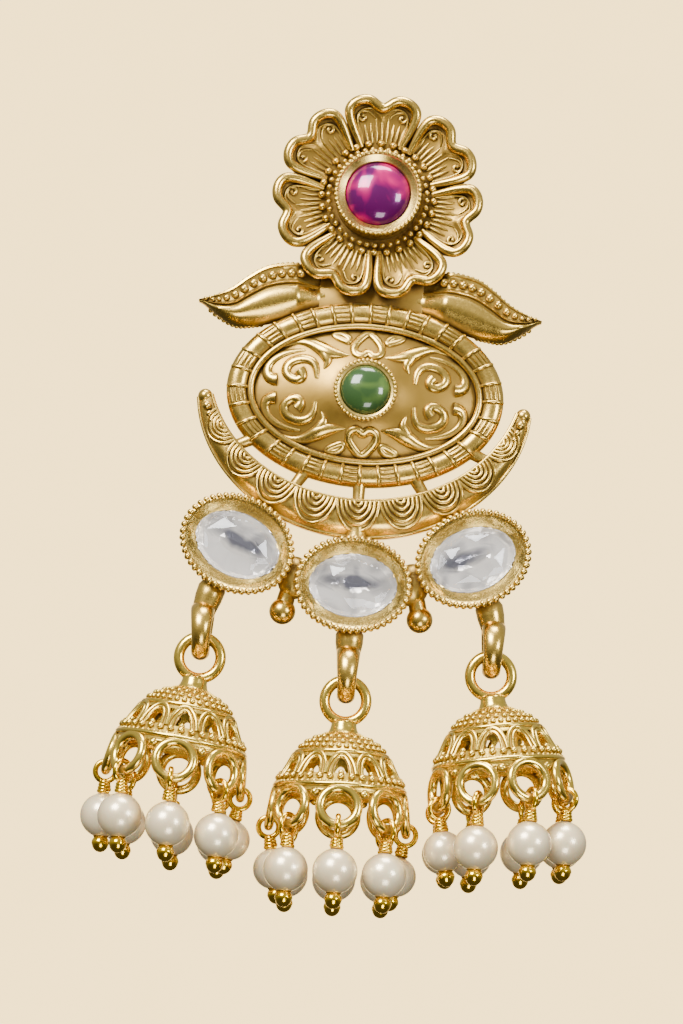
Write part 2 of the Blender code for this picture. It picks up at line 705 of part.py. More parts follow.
def bell(side):
    """One bell: its ring, neck, pierced dome and the open rings of its skirt."""
    shell = bell_shell()
    shell.rotation_euler.z = skirt_turn(side, 0) - math.pi / LATTICE_ARCHES
    pieces = [shell]
    overlap = 0.6 * BELL_WALL
    pieces.append(turned("neck", [(0.0, NECK_TOP + BELL_RING_WIRE / 2), (NECK_RADIUS - overlap / 2, NECK_TOP),
                                  (0.85 * NECK_RADIUS, NECK_TOP - NECK_LENGTH / 2),
                                  (NECK_RADIUS + overlap, CAP_TOP - overlap / 2),
                                  (NECK_RADIUS, CAP_TOP - 1.5 * BELL_WALL), (0.0, CAP_TOP - 1.5 * BELL_WALL)], 12))
    pieces.append(torus("ring", BELL_RING_RADIUS, BELL_RING_WIRE, 12, 5, rotation=(math.pi / 2, 0, 0)))
    for k in range(SKIRT_RINGS):
        turn = skirt_turn(side, k)
        ring = torus("skirt_ring", SKIRT_RING_RADIUS, SKIRT_RING_WIRE, 10, 5)
        stand = Matrix.Rotation(math.pi / 2 - SKIRT_FLARE, 4, "Y")
        slide = Matrix.Translation((SKIRT_RING_CENTRE, 0, SKIRT_RING_Z))
        ring.matrix_world = Matrix.Rotation(turn, 4, "Z") @ slide @ stand
        pieces.append(ring)
    return fused("bell_" + side, pieces)


def skirt_turn(side, k):
    """Direction of a skirt ring about the bell's axis; ring 0 of an unturned bell faces the viewer."""
    return 2 * math.pi * k / SKIRT_RINGS + BELL_TURNS[side] - math.pi / 2


def faces_neighbour(side, k):
    """Whether a drop hangs on a side where another bell hangs close by."""
    toward = math.cos(skirt_turn(side, k))
    beside = abs(toward) > 0.9
    return beside and (side == "middle" or (toward > 0) == (side == "left"))


def drop_radius(side, k):
    return SIDE_PEARL_RADIUS if faces_neighbour(side, k) else PEARL_RADIUS


def drop_place(side, k):
    """Where a drop hangs and how it leans, relative to the middle of its bell's ring in the standing frame."""
    turn = skirt_turn(side, k)
    hang = Vector((HANG_RADIUS * math.cos(turn), HANG_RADIUS * math.sin(turn), HANG_Z))
    hang.rotate(Matrix.Rotation(bell_lean(side), 3, "Y"))
    lean = SIDE_PEARL_LEAN if faces_neighbour(side, k) else 0.0
    return Matrix.Translation(hang) @ Matrix.Rotation(turn, 4, "Z") @ Matrix.Rotation(lean, 4, "Y")


def pearl_centre(radius):
    """Height of a pearl's middle below the wire that its pin hangs on."""
    return PIN_WRAP_TOP - PIN_WRAP_LENGTH - math.sqrt(radius**2 - PIN_WRAP_RADIUS**2)


def bell_reach(side, direction):
    """How far a bell with its drops reaches to one side of the middle of its ring."""
    reach = HANG_RADIUS + SKIRT_RING_WIRE
    skirt = Vector((direction * reach, 0.0, HANG_Z))
    skirt.rotate(Matrix.Rotation(bell_lean(side), 3, "Y"))
    furthest = direction * skirt.x
    for k in range(SKIRT_RINGS):
        radius = drop_radius(side, k)
        centre = drop_place(side, k) @ Vector((0, 0, pearl_centre(radius)))
        furthest = max(furthest, direction * centre.x + radius)
    return furthest


def pearl_drop(name, radius):
    """A pearl on its pin: a loop, a wrapped neck, the pearl and the ball at the pin's end."""
    middle = pearl_centre(radius)
    profile = [(0.0, PIN_WRAP_TOP), (PIN_WRAP_RADIUS, PIN_WRAP_TOP - PIN_WRAP_LENGTH)]
    for angle in (48, 90, 132):
        profile.append((radius * math.sin(math.radians(angle)), middle + radius * math.cos(math.radians(angle))))
    ball_neck = 0.65 * PIN_BALL_RADIUS
    bottom = middle - math.sqrt(radius**2 - ball_neck**2)
    ball_middle = bottom - math.sqrt(PIN_BALL_RADIUS**2 - ball_neck**2)
    profile += [(ball_neck, bottom), (PIN_BALL_RADIUS, ball_middle), (0.0, ball_middle - PIN_BALL_RADIUS)]
    loop = torus("pin_loop", PIN_LOOP_RADIUS, PIN_WIRE, 10, 5, location=(0, 0, -LINK_PLAY / 2),
                 rotation=(math.pi / 2, 0, 0))
    return fused(name, [turned("pearl", profile, 10), loop])


def main():
    clear_scene()
    earring = bpy.data.collections.new("jhumka_earring")
    bpy.context.scene.collection.children.link(earring)

    antique_gold = material("antique_gold", (0.72, 0.52, 0.2), 0.36, 1.0)
    bright_gold = material("bright_gold", (0.83, 0.62, 0.24), 0.24, 1.0)
    steel = material("post_metal", (0.75, 0.62, 0.35), 0.3, 1.0)
    magenta = material("magenta_glass", (0.62, 0.0, 0.3), 0.05, 0.0)
    green = material("green_glass", (0.08, 0.22, 0.06), 0.08, 0.0)
    clear = material("clear_glass", (0.85, 0.87, 0.9), 0.02, 0.0)
    pearl = material("pearl", (0.9, 0.86, 0.76), 0.25, 0.0)

    stand = bpy.data.objects.new("head_stand", None)
    stand.rotation_euler = (math.pi / 2, 0, 0)
    earring.objects.link(stand)

    finish(soldered_head(), earring, antique_gold, stand)
    finish(ear_post(), earring, steel, stand)
    finish(cabochon("magenta_cabochon", MAGENTA_RADIUS, MAGENTA_DOME, MAGENTA_GIRDLE, MAGENTA_SEAT_HEIGHT, 14),
           earring, magenta, stand)
    finish(cabochon("green_cabochon", GREEN_RADIUS, GREEN_DOME, GREEN_GIRDLE, GREEN_SEAT_HEIGHT, 12),
           earring, green, stand, Matrix.Translation((0, PLAQUE_Y, 0)))
    for side, (centre, turn) in settings_places().items():
        place = Matrix.Translation((*centre, 0)) @ Matrix.Rotation(turn, 4, "Z")
        finish(clear_stone("clear_stone_" + side), earring, clear, stand, place, faceted=True)

    for side, place in bell_places().items():
        hook = bpy.data.objects.new("bell_hook_" + side, None)
        hook.location = place
        earring.objects.link(hook)
        finish(bell(side), earring, bright_gold, hook, Matrix.Rotation(bell_lean(side), 4, "Y"))
        for k in range(SKIRT_RINGS):
            drop = pearl_drop(f"pearl_drop_{side}_{k + 1}", drop_radius(side, k))
            finish(drop, earring, pearl, hook, drop_place(side, k))


main()
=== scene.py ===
"""Looks of the jhumka earring: finely modelled metal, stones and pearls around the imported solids.

Each class is one sub-assembly. Its fields are sizes in millimetres, and so are its meshes: the head lies on
its back with x to the right, y up the earring and z towards the viewer, and a bell and a drop hang from their
own origin. settle() then takes a finished mesh to its place in the frame, in metres.
"""

from __future__ import annotations

import logging
import math
from dataclasses import dataclass, field
from enum import Enum
from typing import Iterable, Sequence

import bmesh
import bpy
from bpy.types import Material, Node, NodeTree, NodeSocket, Object
from mathutils import Matrix, Vector


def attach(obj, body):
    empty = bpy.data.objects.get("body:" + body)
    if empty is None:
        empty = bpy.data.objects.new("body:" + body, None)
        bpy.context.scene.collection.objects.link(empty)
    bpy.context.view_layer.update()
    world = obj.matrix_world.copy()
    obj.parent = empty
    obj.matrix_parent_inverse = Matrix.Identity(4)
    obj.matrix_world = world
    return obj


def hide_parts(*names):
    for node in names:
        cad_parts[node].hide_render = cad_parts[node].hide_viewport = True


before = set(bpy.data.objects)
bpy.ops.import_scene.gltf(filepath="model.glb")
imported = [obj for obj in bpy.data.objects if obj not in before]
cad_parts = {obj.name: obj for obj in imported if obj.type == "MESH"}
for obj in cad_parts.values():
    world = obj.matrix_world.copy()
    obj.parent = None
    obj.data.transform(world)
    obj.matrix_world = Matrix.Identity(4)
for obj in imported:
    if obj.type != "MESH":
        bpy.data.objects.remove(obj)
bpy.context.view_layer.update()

log = logging.getLogger("earring")

MILLIMETRE = Matrix.Scale(0.001, 4)
UPRIGHT = Matrix.Rotation(math.radians(90), 4, "X")
STANDING = MILLIMETRE @ UPRIGHT
MERGE_DISTANCE = 0.0005
CAST_EDGES = 50.0
FINE_EDGES = 60.0
# map across each stone's foil, which places the foil's painted reflection streak
FOIL_MAP = "across_the_stone"
Point = tuple[float, float]
Colour = tuple[float, float, float]
Rgba = tuple[float, float, float, float]
Links = dict[str | int, object]


class Side(Enum):
    """The bells and settings, as the viewer sees them."""

    LEFT = "left"
    MIDDLE = "middle"
    RIGHT = "right"

    @property
    def sign(self) -> int:
        """-1 for the left, 0 for the middle and 1 for the right."""
        return {"left": -1, "middle": 0, "right": 1}[self.value]


class Body(Enum):
    """The rigid bodies of the frame that pieces ride on."""

    HEAD = "head"
    LEFT = "hanging_bell_left"
    MIDDLE = "hanging_bell_middle"
    RIGHT = "hanging_bell_right"

    @classmethod
    def of_bell(cls, side: Side) -> Body:
        """The body of the bell on one side."""
        return cls("hanging_bell_" + side.value)


@dataclass(frozen=True)
class Stroke:
    """One wire: its points, its thickness at each as a share of the wire's radius, and whether it closes."""

    points: Sequence[Vector]
    thickness: Sequence[float] = ()
    closed: bool = False


def deselect() -> None:
    """Selects nothing, in object mode."""
    if bpy.context.mode != "OBJECT":
        bpy.ops.object.mode_set(mode="OBJECT")
    bpy.ops.object.select_all(action="DESELECT")


def take(obj: Object) -> Object:
    """Makes an object the only selected one and the active one.

    Args:
        obj: The object.

    Returns:
        The same object.
    """
    deselect()
    obj.select_set(True)
    bpy.context.view_layer.objects.active = obj
    return obj


def edited(obj: Object) -> bmesh.types.BMesh:
    """The mesh of an object that is in edit mode.

    Args:
        obj: The object.

    Returns:
        Its mesh, whose points can be looked up by number.
    """
    mesh = bmesh.from_edit_mesh(obj.data)
    mesh.verts.ensure_lookup_table()
    mesh.verts.index_update()
    return mesh


def edit(obj: Object) -> bmesh.types.BMesh:
    """Enters edit mode on an object.

    Args:
        obj: A mesh object.

    Returns:
        Its mesh there.
    """
    take(obj)
    bpy.ops.object.mode_set(mode="EDIT")
    return edited(obj)


def close_up(obj: Object) -> Object:
    """Merges a mesh's doubled points and turns its faces outwards.

    Args:
        obj: A mesh that a spin or a join has left with doubled points.

    Returns:
        The same object, in object mode.
    """
    edit(obj)
    bpy.ops.mesh.select_all(action="SELECT")
    bpy.ops.mesh.remove_doubles(threshold=MERGE_DISTANCE)
    bpy.ops.mesh.normals_make_consistent(inside=False)
    bpy.ops.object.mode_set(mode="OBJECT")
    return obj


def turned(name: str, profile: Sequence[Point], steps: int) -> Object:
    """Spins a half profile a full turn about Z.

    Args:
        name: Name of the new object.
        profile: Points as (radius, height). A profile that ends where it starts makes a ring.
        steps: How many sides the turned shape has.

    Returns:
        The closed mesh.
    """
    deselect()
    bpy.ops.mesh.primitive_plane_add(size=1.0)
    obj = bpy.context.object
    obj.name = name
    edit(obj)
    bpy.ops.mesh.select_all(action="SELECT")
    bpy.ops.mesh.merge(type="CENTER")
    edited(obj).verts[0].co = (profile[0][0], 0.0, profile[0][1])
    for start, end in zip(profile, profile[1:]):
        step = (end[0] - start[0], 0.0, end[1] - start[1])
        bpy.ops.mesh.extrude_region_move(TRANSFORM_OT_translate={"value": step})
    bpy.ops.mesh.select_all(action="SELECT")
    bpy.ops.mesh.spin(steps=steps, angle=2 * math.pi, center=(0, 0, 0), axis=(0, 0, 1))
    return close_up(obj)


def lofted(name: str, rows: Sequence[Sequence[Vector]], capped: bool = True) -> Object:
    """Extrudes a closed ring of edges from row to row.

    Args:
        name: Name of the new object.
        rows: Rings of equally many points.
        capped: Whether the first and last rings are filled.

    Returns:
        The mesh, with its faces outwards.
    """
    deselect()
    bpy.ops.mesh.primitive_circle_add(vertices=len(rows[0]), radius=1.0, fill_type="NOTHING")
    obj = bpy.context.object
    obj.name = name
    mesh = edit(obj)
    ring = list(range(len(rows[0])))
    for index, point in zip(ring, rows[0]):
        mesh.verts[index].co = point
    bpy.ops.mesh.select_all(action="SELECT")
    for row in rows[1:]:
        bpy.ops.mesh.extrude_region_move(TRANSFORM_OT_translate={"value": (0, 0, 0)})
        mesh = edited(obj)
        ring = [copied_vertex(mesh, index) for index in ring]
        for index, point in zip(ring, row):
            mesh.verts[index].co = point
    if capped:
        for ends in (range(len(rows[0])), ring):
            bpy.ops.mesh.select_all(action="DESELECT")
            mesh = edited(obj)
            for index in ends:
                mesh.verts[index].select = True
            mesh.select_flush(True)
            bpy.ops.mesh.edge_face_add()
    bpy.ops.mesh.select_all(action="SELECT")
    bpy.ops.mesh.normals_make_consistent(inside=False)
    bpy.ops.object.mode_set(mode="OBJECT")
    return obj


def copied_vertex(mesh: bmesh.types.BMesh, index: int) -> int:
    """Index of the selected copy that an extrusion left joined to a vertex."""
    start = mesh.verts[index]
    return next(e.other_vert(start).index for e in start.link_edges if e.other_vert(start).select)


def wires(name: str, strokes: Iterable[Stroke], radius: float, sides: int = 8, smoothness: int = 4) -> Object:
    """Draws smooth round wires and makes them one mesh.

    Args:
        name: Name of the new object.
        strokes: The wires' courses.
        radius: Radius of a wire where its thickness is 1.
        sides: Sides round a wire, an even number.
        smoothness: Steps between two points.

    Returns:
        The mesh, each wire closed at its ends.
    """
    curve = bpy.data.curves.new(name, "CURVE")
    curve.dimensions = "3D"
    curve.bevel_depth = radius
    curve.bevel_resolution = (sides - 4) // 2
    curve.use_fill_caps = True
    for stroke in strokes:
        spline = curve.splines.new("NURBS")
        spline.points.add(len(stroke.points) - 1)
        for i, point in enumerate(stroke.points):
            spline.points[i].co = (*point, 1.0)
            spline.points[i].radius = stroke.thickness[i] if stroke.thickness else 1.0
        spline.order_u = 3
        spline.use_cyclic_u = stroke.closed
        spline.use_endpoint_u = not stroke.closed
        spline.resolution_u = smoothness
    obj = bpy.data.objects.new(name, curve)
    bpy.context.scene.collection.objects.link(obj)
    take(obj)
    bpy.ops.object.convert(target="MESH")
    return close_up(bpy.context.object)


def joined(name: str, parts: Sequence[Object]) -> Object:
    """Joins meshes into one object.

    Args:
        name: Name of the joined object.
        parts: The meshes.

    Returns:
        The first of them, with all the rest.
    """
    deselect()
    for part in parts:
        part.select_set(True)
    bpy.context.view_layer.objects.active = parts[0]
    bpy.ops.object.join()
    parts[0].name = name
    return parts[0]


def repeated(name: str, pattern: Object, places: Sequence[Matrix]) -> Object:
    """Copies a pattern to each place, each copy with its own mesh, and joins the copies.

    Args:
        name: Name of the joined object.
        pattern: The mesh to copy, which is removed.
        places: Where each copy goes.

    Returns:
        The joined object.
    """
    copies = []
    for place in places:
        copy = bpy.data.objects.new(name, pattern.data.copy())
        copy.data.transform(place)
        bpy.context.scene.collection.objects.link(copy)
        copies.append(copy)
    bpy.data.objects.remove(pattern)
    return joined(name, copies)


def grain(radius: float, segments: int, rings: int) -> Object:
    """A small soldered ball, a little flattened where it sits.

    Args:
        radius: The ball's radius.
        segments: Faces round it.
        rings: Faces from pole to pole.

    Returns:
        The ball, at the origin.
    """
    deselect()
    bpy.ops.mesh.primitive_uv_sphere_add(segments=segments, ring_count=rings, radius=radius)
    obj = bpy.context.object
    mesh = edit(obj)
    bpy.ops.mesh.select_all(action="DESELECT")
    for vertex in mesh.verts:
        vertex.select = vertex.co.z < -0.3 * radius
    mesh.select_flush(True)
    bpy.ops.transform.resize(value=(0.9, 0.9, 0.75), center_override=(0, 0, 0))
    bpy.ops.object.mode_set(mode="OBJECT")
    return obj


def polar(radius: float, angle: float, z: float) -> Vector:
    """The point at a radius, a direction and a height about the Z axis."""
    return Vector((radius * math.cos(angle), radius * math.sin(angle), z))


def sized(place: Vector, size: float) -> Matrix:
    """The place of a copy that is larger or smaller than its pattern."""
    return Matrix.Translation(place) @ Matrix.Scale(size, 4)


def rising(start: Vector, direction: Vector) -> Matrix:
    """Turns what rises along Z from the origin so that it rises along a direction from a start."""
    return Matrix.Translation(start) @ direction.to_track_quat("Z", "Y").to_matrix().to_4x4()


def places_round(radius: float, height: float, count: int) -> list[Matrix]:
    """Evenly spaced places on a circle about the Z axis."""
    return [Matrix.Rotation(2 * math.pi * k / count, 4, "Z") @ Matrix.Translation((radius, 0, height))
            for k in range(count)]


def ring_profile(radius: float, half_width: float, half_height: float, count: int) -> list[Point]:
    """The section of a turned ring, which ends where it starts."""
    angles = [2 * math.pi * k / count for k in range(count + 1)]
    return [(radius + half_width * math.cos(angle), half_height * math.sin(angle)) for angle in angles]


def bar(name: str, start: Vector, end: Vector, radius: float, end_radius: float, sides: int = 20) -> Object:
    """A round bar between two points, thinner in its middle like a cast stem.

    Args:
        name: Name of the new object.
        start: Middle of the first end.
        end: Middle of the other end.
        radius: Radius at the start.
        end_radius: Radius at the end.
        sides: Sides round it.

    Returns:
        The closed mesh.
    """
    length = (end - start).length
    waist = 0.85 * min(radius, end_radius)
    profile = [(0.0, 0.0), (radius, 0.0), (0.5 * (radius + waist), 0.25 * length), (waist, 0.55 * length),
               (0.6 * end_radius + 0.4 * waist, 0.85 * length), (end_radius, length), (0.0, length)]
    obj = turned(name, profile, sides)
    obj.data.transform(rising(start, end - start))
    return obj


def cut_by(obj: Object, cutter: Object) -> Object:
    """Takes one mesh away from another and removes it.

    Args:
        obj: The mesh that is cut.
        cutter: The closed mesh that is taken away.

    Returns:
        The cut object.
    """
    take(obj)
    modifier = obj.modifiers.new("Openings", "BOOLEAN")
    modifier.operation = "DIFFERENCE"
    modifier.solver = "EXACT"
    modifier.object = cutter
    bpy.ops.object.modifier_apply(modifier=modifier.name)
    bpy.data.objects.remove(cutter)
    return obj


def bevelled(obj: Object, width: float, angle: float = 35.0) -> Object:
    """Rounds a mesh's edges that are sharper than an angle in degrees.

    Args:
        obj: A mesh.
        width: Width of the rounding.
        angle: Edges sharper than this are rounded.

    Returns:
        The same object.
    """
    take(obj)
    modifier = obj.modifiers.new("Rounding", "BEVEL")
    modifier.width = width
    modifier.segments = 2
    modifier.limit_method = "ANGLE"
    modifier.angle_limit = math.radians(angle)
    modifier.use_clamp_overlap = True
    bpy.ops.object.modifier_apply(modifier=modifier.name)
    return obj


def smooth(obj: Object, angle: float = 38.0) -> Object:
    """Shades a mesh smooth where its faces meet at less than an angle in degrees.

    Args:
        obj: A mesh.
        angle: Edges sharper than this stay sharp.

    Returns:
        The same object.
    """
    take(obj)
    bpy.ops.object.shade_smooth_by_angle(angle=math.radians(angle))
    return obj


def settle(obj: Object, place: Matrix, finish: Material, body: Body, slot: str, *nodes: str) -> Object:
    """Takes a finished mesh to its place and ties it to the frame.

    Args:
        obj: The mesh, in millimetres.
        place: From its own millimetres to the frame's metres.
        finish: Its material.
        body: The body that it rides on.
        slot: The record's material slot for its finish; not used.
        nodes: The solids that it stands for.

    Returns:
        The same object, at the origin.
    """
    obj.data.transform(place)
    obj.data.name = obj.name
    obj.data.materials.clear()
    obj.data.materials.append(finish)
    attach(obj, body.value)
    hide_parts(*nodes)
    log.info("%s: %d faces on %s", obj.name, len(obj.data.polygons), body.value)
    return obj


def ellipse(half_width: float, half_height: float, z: float, count: int) -> list[Vector]:
    """Points of an ellipse at one height."""
    angles = [2 * math.pi * i / count for i in range(count)]
    return [Vector((half_width * math.cos(angle), half_height * math.sin(angle), z)) for angle in angles]


def even_ellipse(half_width: float, half_height: float, count: int) -> list[float]:
    """Angles of points that lie evenly along an ellipse.

    Args:
        half_width: Half the width.
        half_height: Half the height.
        count: How many points.

    Returns:
        The angles, from 0 upwards.
    """
    fine = 2048
    lengths = [0.0]
    for i in range(fine):
        a, b = 2 * math.pi * i / fine, 2 * math.pi * (i + 1) / fine
        lengths.append(lengths[-1] + math.hypot(half_width * (math.cos(b) - math.cos(a)),
                                                half_height * (math.sin(b) - math.sin(a))))
    angles = []
    place = 0
    for k in range(count):
        wanted = lengths[-1] * k / count
        while lengths[place + 1] < wanted:
            place += 1
        angles.append(2 * math.pi * place / fine)
    return angles


def blended(values: Sequence[float], share: float) -> float:
    """A smooth value between evenly spaced ones, share running from 0 at the first to 1 at the last.

    Args:
        values: At least two values.
        share: How far along them, from 0 to 1.

    Returns:
        The value there.
    """
    reach = share * (len(values) - 1)
    index = min(int(reach), len(values) - 2)
    t = reach - index
    before = values[max(index - 1, 0)]
    start, end = values[index], values[index + 1]
    after = values[min(index + 2, len(values) - 1)]
    slope_in, slope_out = (end - before) / 2, (after - start) / 2
    return ((2 * t**3 - 3 * t**2 + 1) * start + (t**3 - 2 * t**2 + t) * slope_in
            + (-2 * t**3 + 3 * t**2) * end + (t**3 - t**2) * slope_out)


def new_group(name: str, inputs: dict[str, float], outputs: Sequence[str]) -> NodeTree:
    """A shader node group whose sockets are all numbers.

    Args:
        name: Name of the group.
        inputs: Each input's default.
        outputs: Names of the outputs.

    Returns:
        The group, with its input and output nodes.
    """
    group = bpy.data.node_groups.new(name, "ShaderNodeTree")
    for socket, default in inputs.items():
        given = group.interface.new_socket(socket, in_out="INPUT", socket_type="NodeSocketFloat")
        given.default_value = default
    for socket in outputs:
        group.interface.new_socket(socket, in_out="OUTPUT", socket_type="NodeSocketFloat")
    group.nodes.new("NodeGroupInput").name = "In"
    group.nodes.new("NodeGroupOutput").name = "Out"
    return group


@dataclass
class Wiring:
    """Adds nodes to a tree and links them."""

    tree: NodeTree

    def feed(self, node: Node, given: Links) -> Node:
        """Links or sets a node's inputs.

        Args:
            node: The node.
            given: For each input, a socket to link or a value to set.

        Returns:
            The same node.
        """
        for key, value in given.items():
            if isinstance(value, NodeSocket):
                self.tree.links.new(value, node.inputs[key])
            else:
                node.inputs[key].default_value = value
        return node

    def node(self, kind: str, given: Links | None = None, **settings: object) -> Node:
        """Adds a node.

        Args:
            kind: The node's type.
            given: For each input, a socket to link or a value to set.
            settings: The node's own settings.

        Returns:
            The node.
        """
        node = self.tree.nodes.new(kind)
        for key, value in settings.items():
            setattr(node, key, value)
        return self.feed(node, given or {})

    def group(self, group: NodeTree, given: Links) -> Node:
        """Adds a group with its own values."""
        return self.node("ShaderNodeGroup", given, node_tree=group)

    def place(self) -> NodeSocket:
        """A point's place in the object's own coordinates."""
        return self.node("ShaderNodeTexCoord").outputs["Object"]

    def noise(self, scale: NodeSocket | float, detail: float, distortion: float = 0.0) -> NodeSocket:
        """Cloudy noise over the object's own coordinates."""
        given = {"Vector": self.place(), "Scale": scale, "Detail": detail, "Distortion": distortion}
        return self.node("ShaderNodeTexNoise", given).outputs["Fac"]

    def bump(self, height: NodeSocket, strength: float, distance: float) -> NodeSocket:
        """The normal of a surface that follows a height."""
        given = {"Height": height, "Strength": strength, "Distance": distance}
        return self.node("ShaderNodeBump", given).outputs["Normal"]

    def ramp(self, factor: NodeSocket, *stops: Point) -> NodeSocket:
        """Maps a value through two grey stops.

        Args:
            factor: The value.
            stops: The stops as (place, brightness), the lower place first.

        Returns:
            The mapped value, as a grey.
        """
        node = self.node("ShaderNodeValToRGB", {"Fac": factor})
        for element, (place, level) in zip(node.color_ramp.elements, stops):
            element.position = place
            element.color = (level, level, level, 1.0)
        return node.outputs["Color"]

    def mix(self, factor: NodeSocket | float, first: NodeSocket | Rgba,
            second: NodeSocket | Rgba) -> NodeSocket:
        """Mixes two colours."""
        return self.node("ShaderNodeMix", {0: factor, 6: first, 7: second}, data_type="RGBA").outputs[2]

    def math(self, operation: str, *values: NodeSocket | float) -> NodeSocket:
        """One step of arithmetic."""
        return self.node("ShaderNodeMath", dict(enumerate(values)), operation=operation).outputs[0]


def rgba(colour: Colour) -> Rgba:
    """A colour with full opacity."""
    return (*colour, 1.0)


def recess_group() -> NodeTree:
    """Darkness that gathers in recesses, as old plating keeps in its hollows.

    Returns:
        The group, which puts out a mask.
    """
    group = new_group("recess_darkening", {"Reach": 0.0006, "Strength": 1.0, "Speck Scale": 900.0}, ["Mask"])
    wiring = Wiring(group)
    given = group.nodes["In"].outputs
    shade = wiring.node("ShaderNodeAmbientOcclusion", {"Distance": given["Reach"]}, samples=8).outputs["AO"]
    speck = wiring.math("MULTIPLY_ADD", wiring.noise(given["Speck Scale"], 3.0), 0.3, -0.15)
    hollow = wiring.ramp(wiring.math("ADD", shade, speck), (0.35, 1.0), (0.92, 0.0))
    wiring.feed(group.nodes["Out"], {"Mask": wiring.math("MULTIPLY", hollow, given["Strength"])})
    return group


def wear_group() -> NodeTree:
    """Fine unevenness of a cast and plated surface.

    Returns:
        The group, which puts out a height and a change of roughness.
    """
    group = new_group("plated_surface", {"Scale": 700.0, "Haze": 0.1}, ["Height", "Roughness"])
    wiring = Wiring(group)
    given = group.nodes["In"].outputs
    broad = wiring.noise(given["Scale"], 2.0)
    fine = wiring.noise(wiring.math("MULTIPLY", given["Scale"], 5.0), 4.0)
    height = wiring.math("MULTIPLY_ADD", fine, 0.35, broad)
    haze = wiring.math("MULTIPLY", wiring.math("SUBTRACT", fine, 0.4), given["Haze"])
    wiring.feed(group.nodes["Out"], {"Height": height, "Roughness": haze})
    return group


@dataclass
class Effects:
    """The node groups that several finishes share."""

    recess: NodeTree = field(default_factory=recess_group)
    wear: NodeTree = field(default_factory=wear_group)


def principled(name: str) -> tuple[Material, Wiring, Node]:
    """A new material, its wiring and its Principled BSDF.

    Args:
        name: The material's name.

    Returns:
        The three of them.
    """
    material = bpy.data.materials.new(name)
    material.use_nodes = True
    return material, Wiring(material.node_tree), material.node_tree.nodes["Principled BSDF"]


@dataclass(frozen=True)
class GoldFinish:
    """Gold plating: its colour, the brown of its recesses and how polished it is."""

    name: str
    colour: Colour
    recess_colour: Colour
    roughness: float
    recess_reach: float
    recess_strength: float
    bump: float = 0.00001

    def build(self, effects: Effects) -> Material:
        """Makes the material.

        Args:
            effects: The shared node groups.

        Returns:
            The material.
        """
        material, wiring, shader = principled(self.name)
        recess = wiring.group(effects.recess, {"Reach": self.recess_reach, "Strength": self.recess_strength,
                                               "Speck Scale": 1400.0}).outputs["Mask"]
        wear = wiring.group(effects.wear, {"Scale": 900.0, "Haze": 0.16}).outputs
        dull = wiring.math("MULTIPLY_ADD", recess, 0.35, self.roughness)
        wiring.feed(shader, {
            "Base Color": wiring.mix(recess, rgba(self.colour), rgba(self.recess_colour)),
            "Roughness": wiring.math("ADD", dull, wear["Roughness"]),
            "Metallic": wiring.math("MULTIPLY_ADD", recess, -0.35, 1.0),
            "Normal": wiring.bump(wear["Height"], 0.5, self.bump)})
        return material


@dataclass(frozen=True)
class PearlFinish:
    """Cream pearls under a glossy coat, with painted shade: browner and darker towards their edges, where the
    surface turns away from view.
    """

    name: str = "pearl_sheen"
    heart: Colour = (0.95, 0.8, 0.5)
    # painted shade: the browner, darker colour mixed in towards each pearl's edge
    edge: Colour = (0.6, 0.42, 0.17)
    blush: Colour = (0.88, 0.68, 0.38)

    def build(self) -> Material:
        """Makes the material.

        Returns:
            The material.
        """
        material, wiring, shader = principled(self.name)
        cloud = wiring.ramp(wiring.noise(260.0, 2.0), (0.4, 0.0), (0.75, 0.8))
        body = wiring.mix(cloud, rgba(self.heart), rgba(self.blush))
        # painted shade: the edge colour is mixed in as the surface faces away from view
        edge_shade_facing = wiring.node("ShaderNodeLayerWeight", {"Blend": 0.4}).outputs["Facing"]
        colour = wiring.mix(wiring.ramp(edge_shade_facing, (0.15, 0.0), (0.9, 0.85)), body, rgba(self.edge))
        wiring.feed(shader, {
            "Base Color": colour, "Metallic": 0.38, "Roughness": 0.3, "Specular IOR Level": 0.6,
            "Coat Weight": 0.8, "Coat Roughness": 0.13, "Coat IOR": 1.5,
            "Subsurface Weight": 0.1, "Subsurface Scale": 0.0008})
        return material


@dataclass(frozen=True)
class CabochonFinish:
    """A domed glass stone over foil: patches of two tones seen through a clear, glossy skin."""

    name: str
    light: Colour
    deep: Colour
    patch_scale: float
    foil: float

    def build(self) -> Material:
        """Makes the material.

        Returns:
            The material.
        """
        material, wiring, shader = principled(self.name)
        cloud = wiring.noise(self.patch_scale, 1.5, 1.2)
        given = {"Vector": wiring.place(), "Scale": 1.7 * self.patch_scale}
        streak = wiring.node("ShaderNodeTexVoronoi", given, feature="SMOOTH_F1").outputs["Distance"]
        blend = wiring.math("MULTIPLY_ADD", streak, -0.25, cloud)
        tone = wiring.ramp(blend, (0.3, 0.0), (0.56, 1.0))
        wiring.feed(shader, {
            "Base Color": wiring.mix(tone, rgba(self.deep), rgba(self.light)),
            "Metallic": self.foil, "Roughness": 0.22, "Specular IOR Level": 0.2,
            "Coat Weight": 0.8, "Coat Roughness": 0.015, "Coat IOR": 1.5})
        return material


@dataclass(frozen=True)
class CutGlassFinish:
    """Clear cut glass, very faintly clouded."""

    name: str = "clear_cut_glass"
    tint: Colour = (0.98, 0.98, 1.0)
    cloud: Colour = (0.82, 0.83, 0.9)

    def build(self) -> Material:
        """Makes the material.

        Returns:
            The material.
        """
        material, wiring, shader = principled(self.name)
        haze = wiring.ramp(wiring.noise(500.0, 3.0), (0.5, 0.0), (0.85, 0.3))
        wiring.feed(shader, {
            "Base Color": wiring.mix(haze, rgba(self.tint), rgba(self.cloud)),
            "Transmission Weight": 1.0, "Roughness": 0.015, "IOR": 1.55})
        return material


